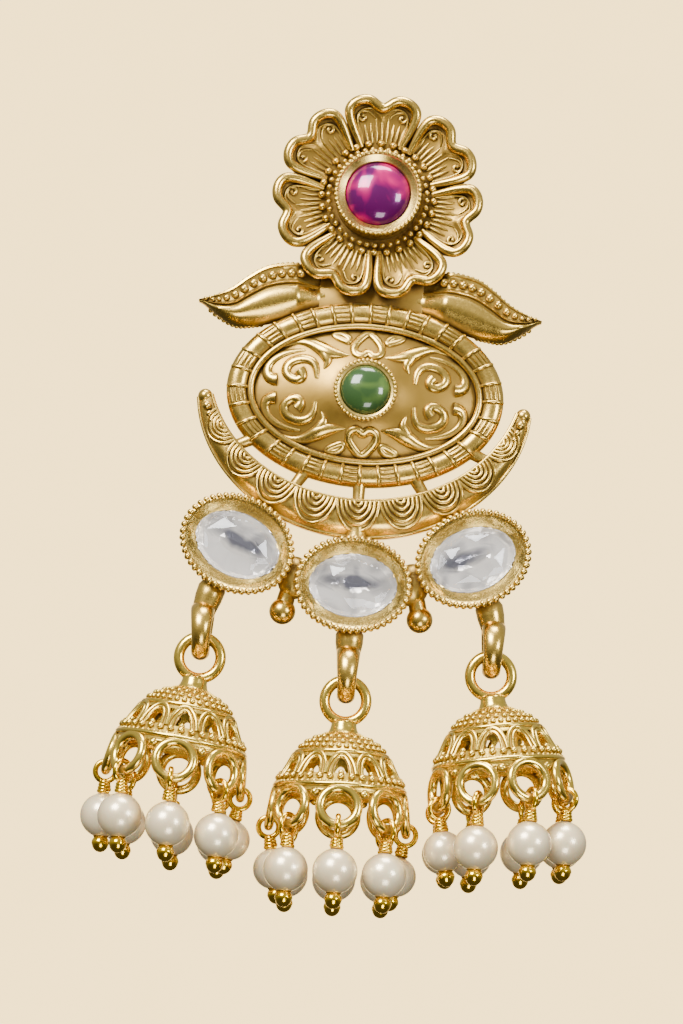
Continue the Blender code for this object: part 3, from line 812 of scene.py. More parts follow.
@dataclass(frozen=True)
class FoilFinish:
    """Silvered foil behind the clear stones, with painted reflection, dark cloudy patches and a dark ragged
    streak along each of them, and a painted glow in its own colours.
    """

    name: str = "silver_foil_painted_reflection"
    bright: Colour = (1.0, 0.94, 0.84)
    # painted reflection: the dark tone of the patches and the streak
    grey: Colour = (0.045, 0.05, 0.085)
    # painted light: how strongly the foil glows in its own colours, though it is no lamp
    glow: float = 0.62

    def build(self) -> Material:
        """Makes the material.

        Returns:
            The material.
        """
        material, wiring, shader = principled(self.name)
        cloud = wiring.noise(420.0, 1.5, 0.8)
        # painted reflection: cloudy dark patches over the foil
        patches = wiring.ramp(cloud, (0.44, 0.0), (0.68, 0.62))
        across = wiring.node("ShaderNodeUVMap", uv_map=FOIL_MAP).outputs["UV"]
        parts = wiring.node("ShaderNodeSeparateXYZ", {"Vector": across}).outputs
        # painted reflection: a dark ragged streak along the middle of each stone, laid out by the map across
        # it
        along = wiring.math("MULTIPLY_ADD", parts["X"], 2.7, -1.25)
        above = wiring.math("MULTIPLY_ADD", parts["Y"], 6.4, -3.5)
        reach = wiring.math("MULTIPLY", along, along)
        spread = wiring.math("ADD", reach, wiring.math("MULTIPLY", above, above))
        ragged = wiring.math("MULTIPLY_ADD", cloud, -1.6, wiring.math("ADD", spread, 0.8))
        streak = wiring.ramp(ragged, (0.25, 0.9), (1.0, 0.0))
        colour = wiring.mix(wiring.math("MAXIMUM", streak, patches), rgba(self.bright), rgba(self.grey))
        # painted light: the foil's colour is also given out as glow
        wiring.feed(shader, {
            "Base Color": colour, "Emission Color": colour, "Emission Strength": self.glow,
            "Normal": wiring.bump(cloud, 0.35, 0.0003), "Metallic": 0.72, "Roughness": 0.14})
        return material


@dataclass(frozen=True)
class BackdropFinish:
    """Plain pale paper behind the earring, lit evenly and faintly uneven."""

    name: str = "pale_paper"
    colour: Colour = (1.0, 0.7, 0.26)
    shade: Colour = (0.96, 0.67, 0.24)
    base: Colour = (0.3, 0.24, 0.17)
    glow: float = 3.8

    def build(self) -> Material:
        """Makes the material.

        Returns:
            The material.
        """
        material, wiring, shader = principled(self.name)
        colour = wiring.mix(wiring.noise(60.0, 4.0), rgba(self.colour), rgba(self.shade))
        wiring.feed(shader, {
            "Emission Color": colour, "Emission Strength": self.glow,
            "Base Color": rgba(self.base), "Roughness": 0.9})
        return material


@dataclass
class Finishes:
    """Every finish of the earring."""

    antique_gold: Material
    aged_gold: Material
    pale_gold: Material
    bright_gold: Material
    pin_gold: Material
    post_metal: Material
    pearl: Material
    magenta: Material
    green: Material
    glass: Material
    foil: Material

    @classmethod
    def made(cls) -> Finishes:
        """Makes all the materials.

        Returns:
            The finishes.
        """
        effects = Effects()
        golds = {
            "antique_gold": GoldFinish("antique_gold_plate", (0.78, 0.51, 0.1), (0.08, 0.036, 0.005),
                                       0.24, 0.0009, 0.95),
            "aged_gold": GoldFinish("aged_gold_ground", (0.42, 0.25, 0.045), (0.05, 0.022, 0.003),
                                    0.34, 0.0011, 0.9),
            "pale_gold": GoldFinish("polished_gold_slope", (0.9, 0.63, 0.16), (0.3, 0.16, 0.02),
                                    0.24, 0.0006, 0.3),
            "bright_gold": GoldFinish("bright_gold_plate", (0.93, 0.65, 0.1), (0.2, 0.095, 0.008),
                                      0.18, 0.0008, 0.85),
            "pin_gold": GoldFinish("yellow_gold_wire", (0.9, 0.57, 0.03), (0.35, 0.16, 0.01),
                                   0.15, 0.0004, 0.7),
            "post_metal": GoldFinish("post_plate", (0.85, 0.68, 0.38), (0.3, 0.2, 0.1), 0.22, 0.0005, 0.5),
        }
        return cls(
            **{name: gold.build(effects) for name, gold in golds.items()},
            pearl=PearlFinish().build(),
            magenta=CabochonFinish("magenta_foiled_glass", (0.55, 0.0, 0.13), (0.09, 0.0, 0.07),
                                   340.0, 0.25).build(),
            green=CabochonFinish("green_glass_dome", (0.09, 0.16, 0.03), (0.03, 0.07, 0.018),
                                 420.0, 0.1).build(),
            glass=CutGlassFinish().build(),
            foil=FoilFinish().build(),
        )


HEAD_NODE = "soldered_head"
HEAD_MIDDLE = 1.2
CAST_GOLD = "antique_gold"
PLAQUE_CENTRE = Vector((0.0, -16.2, 0.0))
PLAQUE_HALF_WIDTH = 11.15
PLAQUE_HALF_HEIGHT = 7.5


@dataclass
class Stonework:
    """A round cup with a milled rim, its rings of grains and the domed stone inside."""

    centre: Vector
    stone_radius: float
    dome: float
    girdle: float
    seat: float
    wall: float
    base: float
    rim: float
    milled: int
    grain_rows: tuple[tuple[float, float, float, int], ...]

    def seated(self, obj: Object) -> Object:
        """Moves a turned mesh to the cup's centre and shades it."""
        obj.data.transform(Matrix.Translation(self.centre))
        return smooth(obj)

    def cup(self, name: str) -> Object:
        """The cup with its milled rim and rows of grains.

        Args:
            name: The cup's name.

        Returns:
            The cup, in its place.
        """
        inner = self.stone_radius + 0.12
        top = self.stone_radius + self.wall
        profile = [(0.0, self.seat), (inner, self.seat), (inner, self.seat + 0.35),
                   (inner + 0.35 * self.wall, self.rim - 0.35), (inner + 0.6 * self.wall, self.rim - 0.04),
                   (top + 0.02, self.rim), (top + 0.14, self.rim - 0.12), (top + 0.12, self.rim - 0.32),
                   (top - 0.05, self.rim - 0.5), (top - 0.1, self.rim - 0.9), (top + 0.1, self.base)]
        parts = [turned(name, profile, 72)]
        notches = places_round(top + 0.02, self.rim - 0.06, self.milled)
        parts.append(repeated("milled_rim", grain(0.19, 8, 5), notches))
        for radius, height, size, count in self.grain_rows:
            parts.append(repeated("grains", grain(size, 12, 8), places_round(radius, height, count)))
        return self.seated(joined(name, parts))

    def lining(self, name: str) -> Object:
        """The polished slope between stone and rim.

        Args:
            name: The lining's name.

        Returns:
            The lining, in its place.
        """
        inner = self.stone_radius + 0.03
        top = self.stone_radius + self.wall
        low = self.seat + 0.2 + self.girdle
        rise = 0.5 * (self.rim - low)
        profile = [(inner + 0.15, low - 0.3), (inner, low - 0.3), (inner, low + rise - 0.1),
                   (inner + 0.04, low + rise), (top - 0.16, self.rim - 0.06), (top - 0.06, self.rim + 0.01),
                   (top, self.rim), (top, self.rim - 0.2)]
        return self.seated(turned(name, profile + profile[:1], 72))

    def stone(self, name: str) -> Object:
        """The domed stone with a small foot under its girdle.

        Args:
            name: The stone's name.

        Returns:
            The stone, in its place.
        """
        low = self.seat + 0.2
        profile = [(0.0, low), (0.93 * self.stone_radius, low), (self.stone_radius, low + 0.12)]
        arcs = 18
        for i in range(arcs + 1):
            angle = math.pi / 2 * (1 - i / arcs)
            height = low + self.girdle + self.dome * math.cos(angle)
            profile.append((self.stone_radius * math.sin(angle), height))
        return self.seated(turned(name, profile, 96))


@dataclass
class Flower:
    """Seven two-lobed petals, each a ribbed dish with a rolled rim of its own, round a milled cup."""

    radius: float = 8.4
    petals: int = 7
    eye_radius: float = 4.0
    points: int = 224
    lobes: tuple[float, ...] = (0.8, 0.89, 0.95, 0.975, 0.985, 0.98, 0.955, 0.905, 0.875, 0.905, 0.955, 0.98,
                                0.985, 0.975, 0.95, 0.89, 0.8)
    rim: tuple[Point, ...] = ((-0.8, 0.53), (-0.84, 0.63), (-0.87, 0.73), (-0.87, 0.83), (-0.82, 0.91),
                              (-0.66, 0.955), (-0.46, 0.97), (-0.28, 0.955), (-0.13, 0.895), (0.0, 0.868),
                              (0.13, 0.895), (0.28, 0.955), (0.46, 0.97), (0.66, 0.955), (0.82, 0.91),
                              (0.87, 0.83), (0.87, 0.73), (0.84, 0.63), (0.8, 0.53))
    curl: tuple[Point, ...] = ((0.2, 0.79), (0.3, 0.845), (0.45, 0.875), (0.6, 0.865), (0.66, 0.82),
                               (0.58, 0.78), (0.46, 0.79), (0.46, 0.825), (0.53, 0.83))
    stonework: Stonework = field(default_factory=lambda: Stonework(
        centre=Vector((0, 0, 0)), stone_radius=2.6, dome=1.3, girdle=0.5, seat=1.9, wall=0.75, base=0.8,
        rim=3.3, milled=56, grain_rows=((4.52, 1.32, 0.3, 28), (3.98, 1.5, 0.22, 40))))

    def local_turn(self, angle: float) -> float:
        """A direction as a share of half a petal, from -1 to 1 across the petal that it is in."""
        return ((angle - math.pi / 2) / (math.pi / self.petals) + 1.0) % 2.0 - 1.0

    def edge(self, angle: float) -> float:
        """The outline's radius in one direction."""
        return self.radius * blended(self.lobes, (self.local_turn(angle) + 1.0) / 2)

    def valley(self, angle: float) -> float:
        """How deep between two petals a direction is, 1 in the middle of a valley."""
        return max(0.0, 1.0 - (1.0 - abs(self.local_turn(angle))) / 0.14)

    def on_petal(self, petal: int, turn: float, share: float, height: float) -> Vector:
        """A point on a petal, turn in half petals and share of the flower's radius."""
        return polar(share * self.radius, math.pi / 2 + (2 * petal + turn) * math.pi / self.petals, height)

    def dish_height(self, share: float) -> float:
        """Height of the dish at a share of the flower's radius."""
        return 1.02 + 0.75 * max(0.0, share - 0.5)

    def petals_mesh(self) -> Object:
        """The dishes under the rims, creased between the petals.

        Returns:
            The dishes, as one closed mesh.
        """
        edge = ((0.4, 0.0), (0.16, 0.3), (0.08, 0.75), (0.1, 1.2), (0.22, 1.5), (0.5, 1.6), (0.85, 1.42))
        angles = [2 * math.pi * i / self.points for i in range(self.points)]
        rows = [[self.edge_point(angle, inset, height) for angle in angles] for inset, height in edge]
        for share in (0.15, 0.35, 0.55, 0.75, 1.0):
            rows.append([self.dish_point(angle, share) for angle in angles])
        return smooth(lofted("flower_petals", rows), FINE_EDGES)

    def edge_point(self, angle: float, inset: float, height: float) -> Vector:
        """A point of the outer edge."""
        return polar(self.edge(angle) - inset, angle, height - 0.35 * height * self.valley(angle))

    def dish_point(self, angle: float, share: float) -> Vector:
        """A point of the dish between rim and eye.

        Args:
            angle: Direction from the middle.
            share: 0 at the rim and 1 at the eye.

        Returns:
            The point.
        """
        outer = self.edge(angle) - 0.85
        radius = outer + share * (self.eye_radius - 0.4 - outer)
        return polar(radius, angle, self.dish_height(radius / self.radius) - 0.3 * self.valley(angle))

    def above_dish(self, petal: int, points: Iterable[Point], lift: float) -> list[Vector]:
        """A course that lies a little above a petal's dish."""
        return [self.on_petal(petal, turn, share, self.dish_height(share) + lift) for turn, share in points]

    def rims(self) -> Object:
        """The rolled rim of each petal, thick over the lobes and thinner down its sides.

        Returns:
            The rims, as one mesh.
        """
        thickness = [0.62 + 0.4 * min(1.0, max(0.0, (share - 0.55) / 0.3)) for _, share in self.rim]
        strokes = []
        for petal in range(self.petals):
            course = [self.on_petal(petal, turn, share, 1.05 + 1.5625 * (share - 0.5) ** 0.7)
                      for turn, share in self.rim]
            strokes.append(Stroke(course, thickness))
        return smooth(wires("flower_rims", strokes, 0.4, 12, 4), FINE_EDGES)

    def ribs(self) -> Object:
        """Fine ribs that fan out over each dish, a curl in each lobe and a thin line inside the rim.

        Returns:
            The ribs, curls and lines, as one mesh.
        """
        strokes = []
        for petal in range(self.petals):
            for k in range(-4, 5):
                end = 0.79 if abs(k) < 2 else 0.74
                rib = [(0.17 * k, share) for share in (0.55, 0.62, 0.69, end)]
                strokes.append(Stroke(self.above_dish(petal, rib, 0.04), (0.7, 1.1, 1.0, 0.4)))
            for side in (-1, 1):
                curl = [(side * turn, share) for turn, share in self.curl]
                strokes.append(Stroke(self.above_dish(petal, curl, 0.1),
                                      (0.5, 0.8, 1.0, 1.1, 1.1, 1.0, 1.0, 1.0, 1.1)))
            line = [self.on_petal(petal, 0.82 * turn, share - 0.075, self.dish_height(share) + 0.12)
                    for turn, share in self.rim[1:-1]]
            strokes.append(Stroke(line, [0.75] * len(line)))
        return smooth(wires("flower_ribs", strokes, 0.13, 8, 3), FINE_EDGES)

    def build(self) -> list[Object]:
        """Models the flower's metal."""
        return [self.rims(), self.ribs(), self.stonework.cup("flower_cup")]


@dataclass
class Leaf:
    """One leaf: a smooth lobe under an S-curved rib, and a row of grains in the channel above it."""

    side: Side
    root: Vector = field(default_factory=lambda: Vector((4.2, -7.9, 0.0)))
    length: float = 9.7
    width: float = 4.7
    height: float = 2.1
    fall: float = math.radians(7.8)
    low: tuple[float, ...] = (-0.3, -0.36, -0.44, -0.5, -0.52, -0.5, -0.31, -0.03)
    ridge: tuple[float, ...] = (0.06, 0.12, 0.14, 0.1, -0.02, -0.15, -0.13, 0.0)
    high: tuple[float, ...] = (0.4, 0.5, 0.52, 0.48, 0.34, 0.16, 0.05, 0.02)

    def point(self, along: float, across: float, z: float) -> Vector:
        """A point at shares of the leaf's length and width.

        Args:
            along: Share of the length, from the root.
            across: Share of the width, from the line through the root.
            z: Height of the point.

        Returns:
            The point, mirrored for the left leaf.
        """
        forward = Vector((math.cos(self.fall), -math.sin(self.fall), 0.0))
        sideways = Vector((math.sin(self.fall), math.cos(self.fall), 0.0))
        place = self.root + forward * along * self.length + sideways * across * self.width
        return Vector((self.side.sign * place.x, place.y, z))

    def section(self, along: float) -> list[Vector]:
        """Points round the leaf at one place along it.

        Args:
            along: Share of the length, a little below 0 inside the tab.

        Returns:
            The ring of points.
        """
        share = max(0.0, along)
        low, ridge, high = (blended(values, share) for values in (self.low, self.ridge, self.high))
        full = self.height * min(1.0, 0.45 + 3.0 * share) * min(1.0, 0.5 + 3.0 * (1.0 - share))
        ring = [self.point(along, low + 0.02, 0.15)]
        for i in range(11):
            t = i / 10
            lobe = 0.3 + 0.7 * math.sin(math.pi * (0.06 + 0.7 * t)) ** 0.7
            ring.append(self.point(along, low + t * (ridge - low), full * lobe))
        for t, share in ((0.05, 0.97), (0.12, 0.92), (0.18, 0.8), (0.3, 0.74), (0.6, 0.74), (0.78, 0.76),
                         (0.84, 0.84), (0.93, 0.82), (1.0, 0.55)):
            ring.append(self.point(along, ridge + t * (high - ridge), full * share))
        ring.append(self.point(along, high, 0.15))
        return ring

    def grains(self) -> Object:
        """The row of grains in the channel and the smaller ones along its outer edge.

        Returns:
            The grains, as one mesh.
        """
        places = []
        along = 0.14
        while along < 0.92:
            ridge, high = blended(self.ridge, along), blended(self.high, along)
            size = max(0.35, min(0.85, (high - ridge) * 2.4))
            place = self.point(along, ridge + 0.5 * (high - ridge), 0.73 * self.height)
            places.append(sized(place, size))
            along += 0.082 * size + 0.01
        for k in range(22):
            along = 0.08 + 0.041 * k
            place = self.point(along, blended(self.high, along) - 0.02, 0.6 * self.height)
            places.append(sized(place, 0.4))
        for k in range(13):
            along = 0.5 + 0.034 * k
            place = self.point(along, blended(self.low, along) + 0.02, 0.3 * self.height)
            places.append(sized(place, 0.5))
        return smooth(repeated("grains", grain(0.44, 12, 8), places), FINE_EDGES)

    def build(self) -> list[Object]:
        """Models the leaf.

        Returns:
            The blade and its grains.
        """
        name = "leaf_" + self.side.value
        steps = 44
        blade = smooth(lofted(name, [self.section(i / steps) for i in range(-2, steps + 1)]), CAST_EDGES)
        grains = self.grains()
        grains.name = name + "_grains"
        return [blade, grains]


@dataclass
class Plaque:
    """The oval plaque: crowned border crossed by bars, wire line, domed field with scrolls, and a cup."""

    half_width: float = PLAQUE_HALF_WIDTH
    half_height: float = PLAQUE_HALF_HEIGHT
    crest: float = 0.92
    edge_height: float = 1.45
    crown_height: float = 2.7
    segments: int = 36
    points: int = 112
    stonework: Stonework = field(default_factory=lambda: Stonework(
        centre=PLAQUE_CENTRE, stone_radius=1.95, dome=1.0, girdle=0.4, seat=3.0, wall=0.4, base=2.2,
        rim=3.75, milled=44, grain_rows=()))

    @property
    def field_half_width(self) -> float:
        """Half width of the field inside the wire line."""
        return self.half_width - 2.2

    @property
    def field_half_height(self) -> float:
        """Half height of the field inside the wire line."""
        return self.half_height - 2.2

    def field_height(self, x: float, y: float) -> float:
        """Height of the domed field at a point of the plaque.

        Args:
            x: Across, from the plaque's middle.
            y: Up, from the plaque's middle.

        Returns:
            The height.
        """
        share = min(1.0, (x / self.field_half_width) ** 2 + (y / self.field_half_height) ** 2)
        swell = 0.28 * math.exp(-((math.hypot(x, y) / 2.9) ** 6))
        return self.crown_height + (self.edge_height - self.crown_height) * share - 0.12 + swell

    def border_height_at(self, inset: float) -> float:
        """Height of the crowned border at an inset from the outline."""
        return 1.25 + 0.72 * math.sqrt(max(0.0, 1.0 - ((inset - self.crest) / 0.9) ** 2))

    def border_point(self, angle: float, inset: float, lift: float) -> Vector:
        """A point on the border.

        Args:
            angle: Direction from the middle.
            inset: Distance in from the outline.
            lift: Height above the border.

        Returns:
            The point.
        """
        return PLAQUE_CENTRE + Vector(((self.half_width - inset) * math.cos(angle),
                                       (self.half_height - inset) * math.sin(angle),
                                       self.border_height_at(inset) + lift))

    def field_row(self, share: float, lift: float) -> list[Vector]:
        """Points round the domed field, at a share of its size.

        Args:
            share: Share of the field's size.
            lift: Height above the field.

        Returns:
            The points.
        """
        row = ellipse(self.field_half_width * share, self.field_half_height * share, 0.0, self.points)
        for point in row:
            point.z = self.field_height(point.x, point.y) + lift
        return row

    def placed(self, obj: Object, edges: float) -> Object:
        """Moves a mesh to the plaque's centre and shades it."""
        obj.data.transform(Matrix.Translation(PLAQUE_CENTRE))
        return smooth(obj, edges)

    def ground(self) -> Object:
        """The plate: crowned border, groove and domed field.

        Returns:
            The plate.
        """
        levels = [(0.3, 0.0), (0.1, 0.3), (0.05, 0.8)]
        levels += [(0.06 + 1.7 * step / 8, self.border_height_at(0.06 + 1.7 * step / 8)) for step in range(9)]
        levels += [(1.9, 1.15), (2.1, 1.15)]
        rows = [ellipse(self.half_width - inset, self.half_height - inset, height, self.points)
                for inset, height in levels]
        rows += [self.field_row(share, 0.0) for share in (1.0, 0.94, 0.85, 0.72, 0.58, 0.46, 0.36, 0.3, 0.24)]
        return self.placed(lofted("plaque_plate", rows), CAST_EDGES)

    def field_plate(self) -> Object:
        """The darker skin of the domed field under the scrolls.

        Returns:
            The skin, a hair above the plate.
        """
        shares = (0.985, 0.9, 0.78, 0.64, 0.5, 0.38, 0.3, 0.25)
        rows = [self.field_row(share, 0.02) for share in shares]
        rows = [self.field_row(shares[0], -0.12), *rows, self.field_row(shares[-1], -0.12)]
        return self.placed(lofted("plaque_field", rows), CAST_EDGES)

    def border(self) -> Object:
        """Bars across the border, and lines along it in every other space between them.

        Returns:
            The bars and lines, as one mesh.
        """
        angles = even_ellipse(self.half_width - self.crest, self.half_height - self.crest, self.segments)
        strokes = []
        for k, angle in enumerate(angles):
            course = [self.border_point(angle, 0.14 + 1.56 * i / 6, 0.03) for i in range(7)]
            strokes.append(Stroke(course, [1.3] * 7))
            if k % 2:
                continue
            turns = [angle + (angles[k + 1] - angle) * t for t in (0.14, 0.4, 0.62, 0.86)]
            for inset in (0.42, 0.76, 1.1, 1.42):
                course = [self.border_point(turn, inset, 0.02) for turn in turns]
                strokes.append(Stroke(course, (0.9, 1.1, 1.1, 0.9)))
        return smooth(wires("plaque_border", strokes, 0.12, 8, 3), FINE_EDGES)

    def line(self) -> Object:
        """The bright wire between border and field."""
        points = ellipse(self.half_width - 1.98, self.half_height - 1.98, 1.66, 72)
        return self.placed(wires("plaque_line", [Stroke(points, (), True)], 0.26, 12, 3), FINE_EDGES)

    def on_field(self, x: float, y: float) -> Vector:
        """A point of the field before it is domed, from shares of its half width and half height."""
        return Vector((x * self.field_half_width, y * self.field_half_height, 0.0))

    def scrolls(self) -> Object:
        """Cast scrolls in low relief, alike in each quarter, and a heart above and below the stone.

        Returns:
            The relief, as one mesh.
        """
        quarter = (
            (((0.78, 0.66), (0.64, 0.78), (0.5, 0.74), (0.39, 0.63), (0.27, 0.57), (0.16, 0.56)),
             (0.4, 0.9, 1.6, 2.3, 1.5, 0.3)),
            (((0.4, 0.64), (0.36, 0.52), (0.35, 0.42), (0.38, 0.33)), (2.0, 1.7, 1.0, 0.4)),
            (((0.56, 0.62), (0.7, 0.6), (0.85, 0.46), (0.9, 0.28), (0.86, 0.14), (0.8, 0.14)),
             (0.4, 0.9, 1.2, 1.3, 1.7, 1.9)),
            (((0.44, 0.18), (0.44, 0.4), (0.56, 0.5), (0.7, 0.42), (0.73, 0.24), (0.63, 0.12), (0.55, 0.2),
              (0.6, 0.3)), (0.6, 1.2, 1.4, 1.4, 1.3, 1.3, 1.5, 1.7)),
            (((0.66, 0.84), (0.78, 0.72), (0.9, 0.5)), (0.3, 0.7, 0.3)),
            (((0.17, 0.78), (0.24, 0.82), (0.33, 0.9), (0.24, 0.93), (0.17, 0.85)), ()),
        )
        strokes = []
        for across in (-1, 1):
            for up in (-1, 1):
                for points, thickness in quarter:
                    course = [self.on_field(across * x, up * y) for x, y in points]
                    strokes.append(Stroke(course, thickness, not thickness))
        heart = ((0.0, 0.97), (0.07, 0.86), (0.13, 0.72), (0.12, 0.6), (0.05, 0.56), (0.0, 0.65),
                 (-0.05, 0.56), (-0.12, 0.6), (-0.13, 0.72), (-0.07, 0.86))
        for up in (-1, 1):
            strokes.append(Stroke([self.on_field(x, up * y) for x, y in heart], [1.2] * len(heart), True))
        relief = wires("plaque_scrolls", strokes, 0.29, 12, 4)
        for vertex in relief.data.vertices:
            vertex.co.z = 0.75 * vertex.co.z + self.field_height(vertex.co.x, vertex.co.y)
        return self.placed(relief, FINE_EDGES)

    def build(self) -> list[Object]:
        """Models the plaque's metal."""
        return [self.ground(), self.border(), self.line(), self.scrolls(), self.stonework.cup("plaque_cup")]


@dataclass
class Crescent:
    """The crescent with its row of scallops, tip balls and pegs."""

    half_width: float = 12.9
    drop: float = 11.0
    centre: Vector = field(default_factory=lambda: Vector((0.0, -15.3, 0.0)))
    half_thickness: float = 1.5
    tip_half_thickness: float = 0.3
    reach: float = math.radians(81)
    height: float = 2.2
    back: float = 0.3

    def axes(self, angle: float) -> tuple[Vector, Vector, float, float]:
        """Middle, outward direction, half thickness and front height at an angle from the lowest point.

        Args:
            angle: Direction from the crescent's centre, 0 straight down.

        Returns:
            The four of them.
        """
        middle = self.centre + Vector((self.half_width * math.sin(angle), -self.drop * math.cos(angle), 0.0))
        outward = Vector((self.drop * math.sin(angle), -self.half_width * math.cos(angle), 0.0)).normalized()
        share = max(0.0, math.cos(angle)) ** 0.8
        half = self.tip_half_thickness + (self.half_thickness - self.tip_half_thickness) * share
        return middle, outward, half, self.height * (0.55 + 0.45 * share)

    def point(self, angle: float, offset: float, lift: float = 0.0) -> Vector:
        """A point on the crescent's front, offset in shares of its half thickness.

        Args:
            angle: Direction from the centre.
            offset: -1 at the upper edge and 1 at the lower.
            lift: Height above the front.

        Returns:
            The point.
        """
        middle, outward, half, front = self.axes(angle)
        height = front * (1.0 - 0.42 * max(0.0, offset) ** 2.2 - 0.25 * max(0.0, -offset - 0.5) ** 2)
        return middle + outward * offset * half + Vector((0, 0, height + lift))

    def body(self) -> Object:
        """The plain body under the scallops.

        Returns:
            The body.
        """
        steps = 90
        rows = []
        for i in range(steps + 1):
            angle = self.reach * (2 * i / steps - 1)
            middle, outward, half, _ = self.axes(angle)
            row = [middle - outward * half + Vector((0, 0, self.back))]
            for k in range(11):
                offset = -1 + 2 * k / 10
                edge = 0.14 if abs(offset) > 0.85 else 0.0
                row.append(self.point(angle, 0.985 * offset, -0.12 + edge))
            row.append(middle + outward * half + Vector((0, 0, self.back)))
            rows.append(row)
        return smooth(lofted("crescent_body", rows), CAST_EDGES)

    def scallops(self) -> Object:
        """Fans of concentric arcs that spring from the upper edge, each over the next.

        Returns:
            The arcs, as one mesh.
        """
        strokes = []
        pitch = math.radians(8.2)
        arcs = 5
        for degrees in (-66, -49, -33, -16.5, 0, 16.5, 33, 49, 66):
            for arc in range(1, arcs + 1):
                share = arc / arcs
                course = []
                for k in range(9):
                    bend = math.pi * k / 8
                    angle = math.radians(degrees) - pitch * share * math.cos(bend)
                    offset = -1.0 + 1.7 * share * math.sin(bend)
                    course.append(self.point(angle, offset, -0.02 + 0.03 * share))
                strokes.append(Stroke(course))
        return smooth(wires("crescent_scallops", strokes, 0.15, 8, 3), FINE_EDGES)

    def rails(self) -> Object:
        """The wires along both edges.

        Returns:
            Both wires, as one mesh.
        """
        strokes = []
        for offset in (-0.95, 0.95):
            points = [self.point(self.reach * (2 * k / 48 - 1), offset, 0.0) for k in range(49)]
            strokes.append(Stroke(points))
        return smooth(wires("crescent_rails", strokes, 0.15, 10, 3), FINE_EDGES)

    def tips(self) -> Object:
        """Balls at both tips, each with smaller grains below it.

        Returns:
            All the balls, as one mesh.
        """
        places = []
        for sign in (-1, 1):
            for turn, size in ((0.0, 1.0), (4.6, 0.62), (8.2, 0.48), (11.2, 0.36)):
                middle, _, _, front = self.axes(sign * (self.reach - math.radians(turn)))
                lift = 0.88 if turn == 0.0 else front + 0.02
                places.append(sized(middle + Vector((0, 0, lift)), size))
        return smooth(repeated("crescent_tips", grain(0.6, 20, 14), places), FINE_EDGES)

    def pegs(self) -> Object:
        """Short round pegs between the plaque's border and the crescent.

        Returns:
            The pegs, as one mesh.
        """
        rise = Vector((0, 0, HEAD_MIDDLE))
        made = []
        for degrees in (-57, -27.5, 0, 27.5, 57):
            middle, _, _, _ = self.axes(math.radians(degrees))
            direction = middle - PLAQUE_CENTRE
            reach = math.hypot(direction.x / PLAQUE_HALF_WIDTH, direction.y / PLAQUE_HALF_HEIGHT)
            start = PLAQUE_CENTRE + direction * 0.9 / reach + rise
            made.append(smooth(bar("crescent_peg", start, middle + rise, 0.55, 0.55)))
        return joined("crescent_pegs", made)

    def build(self) -> list[Object]:
        """Models the crescent."""
        return [self.body(), self.scallops(), self.rails(), self.tips(), self.pegs()]


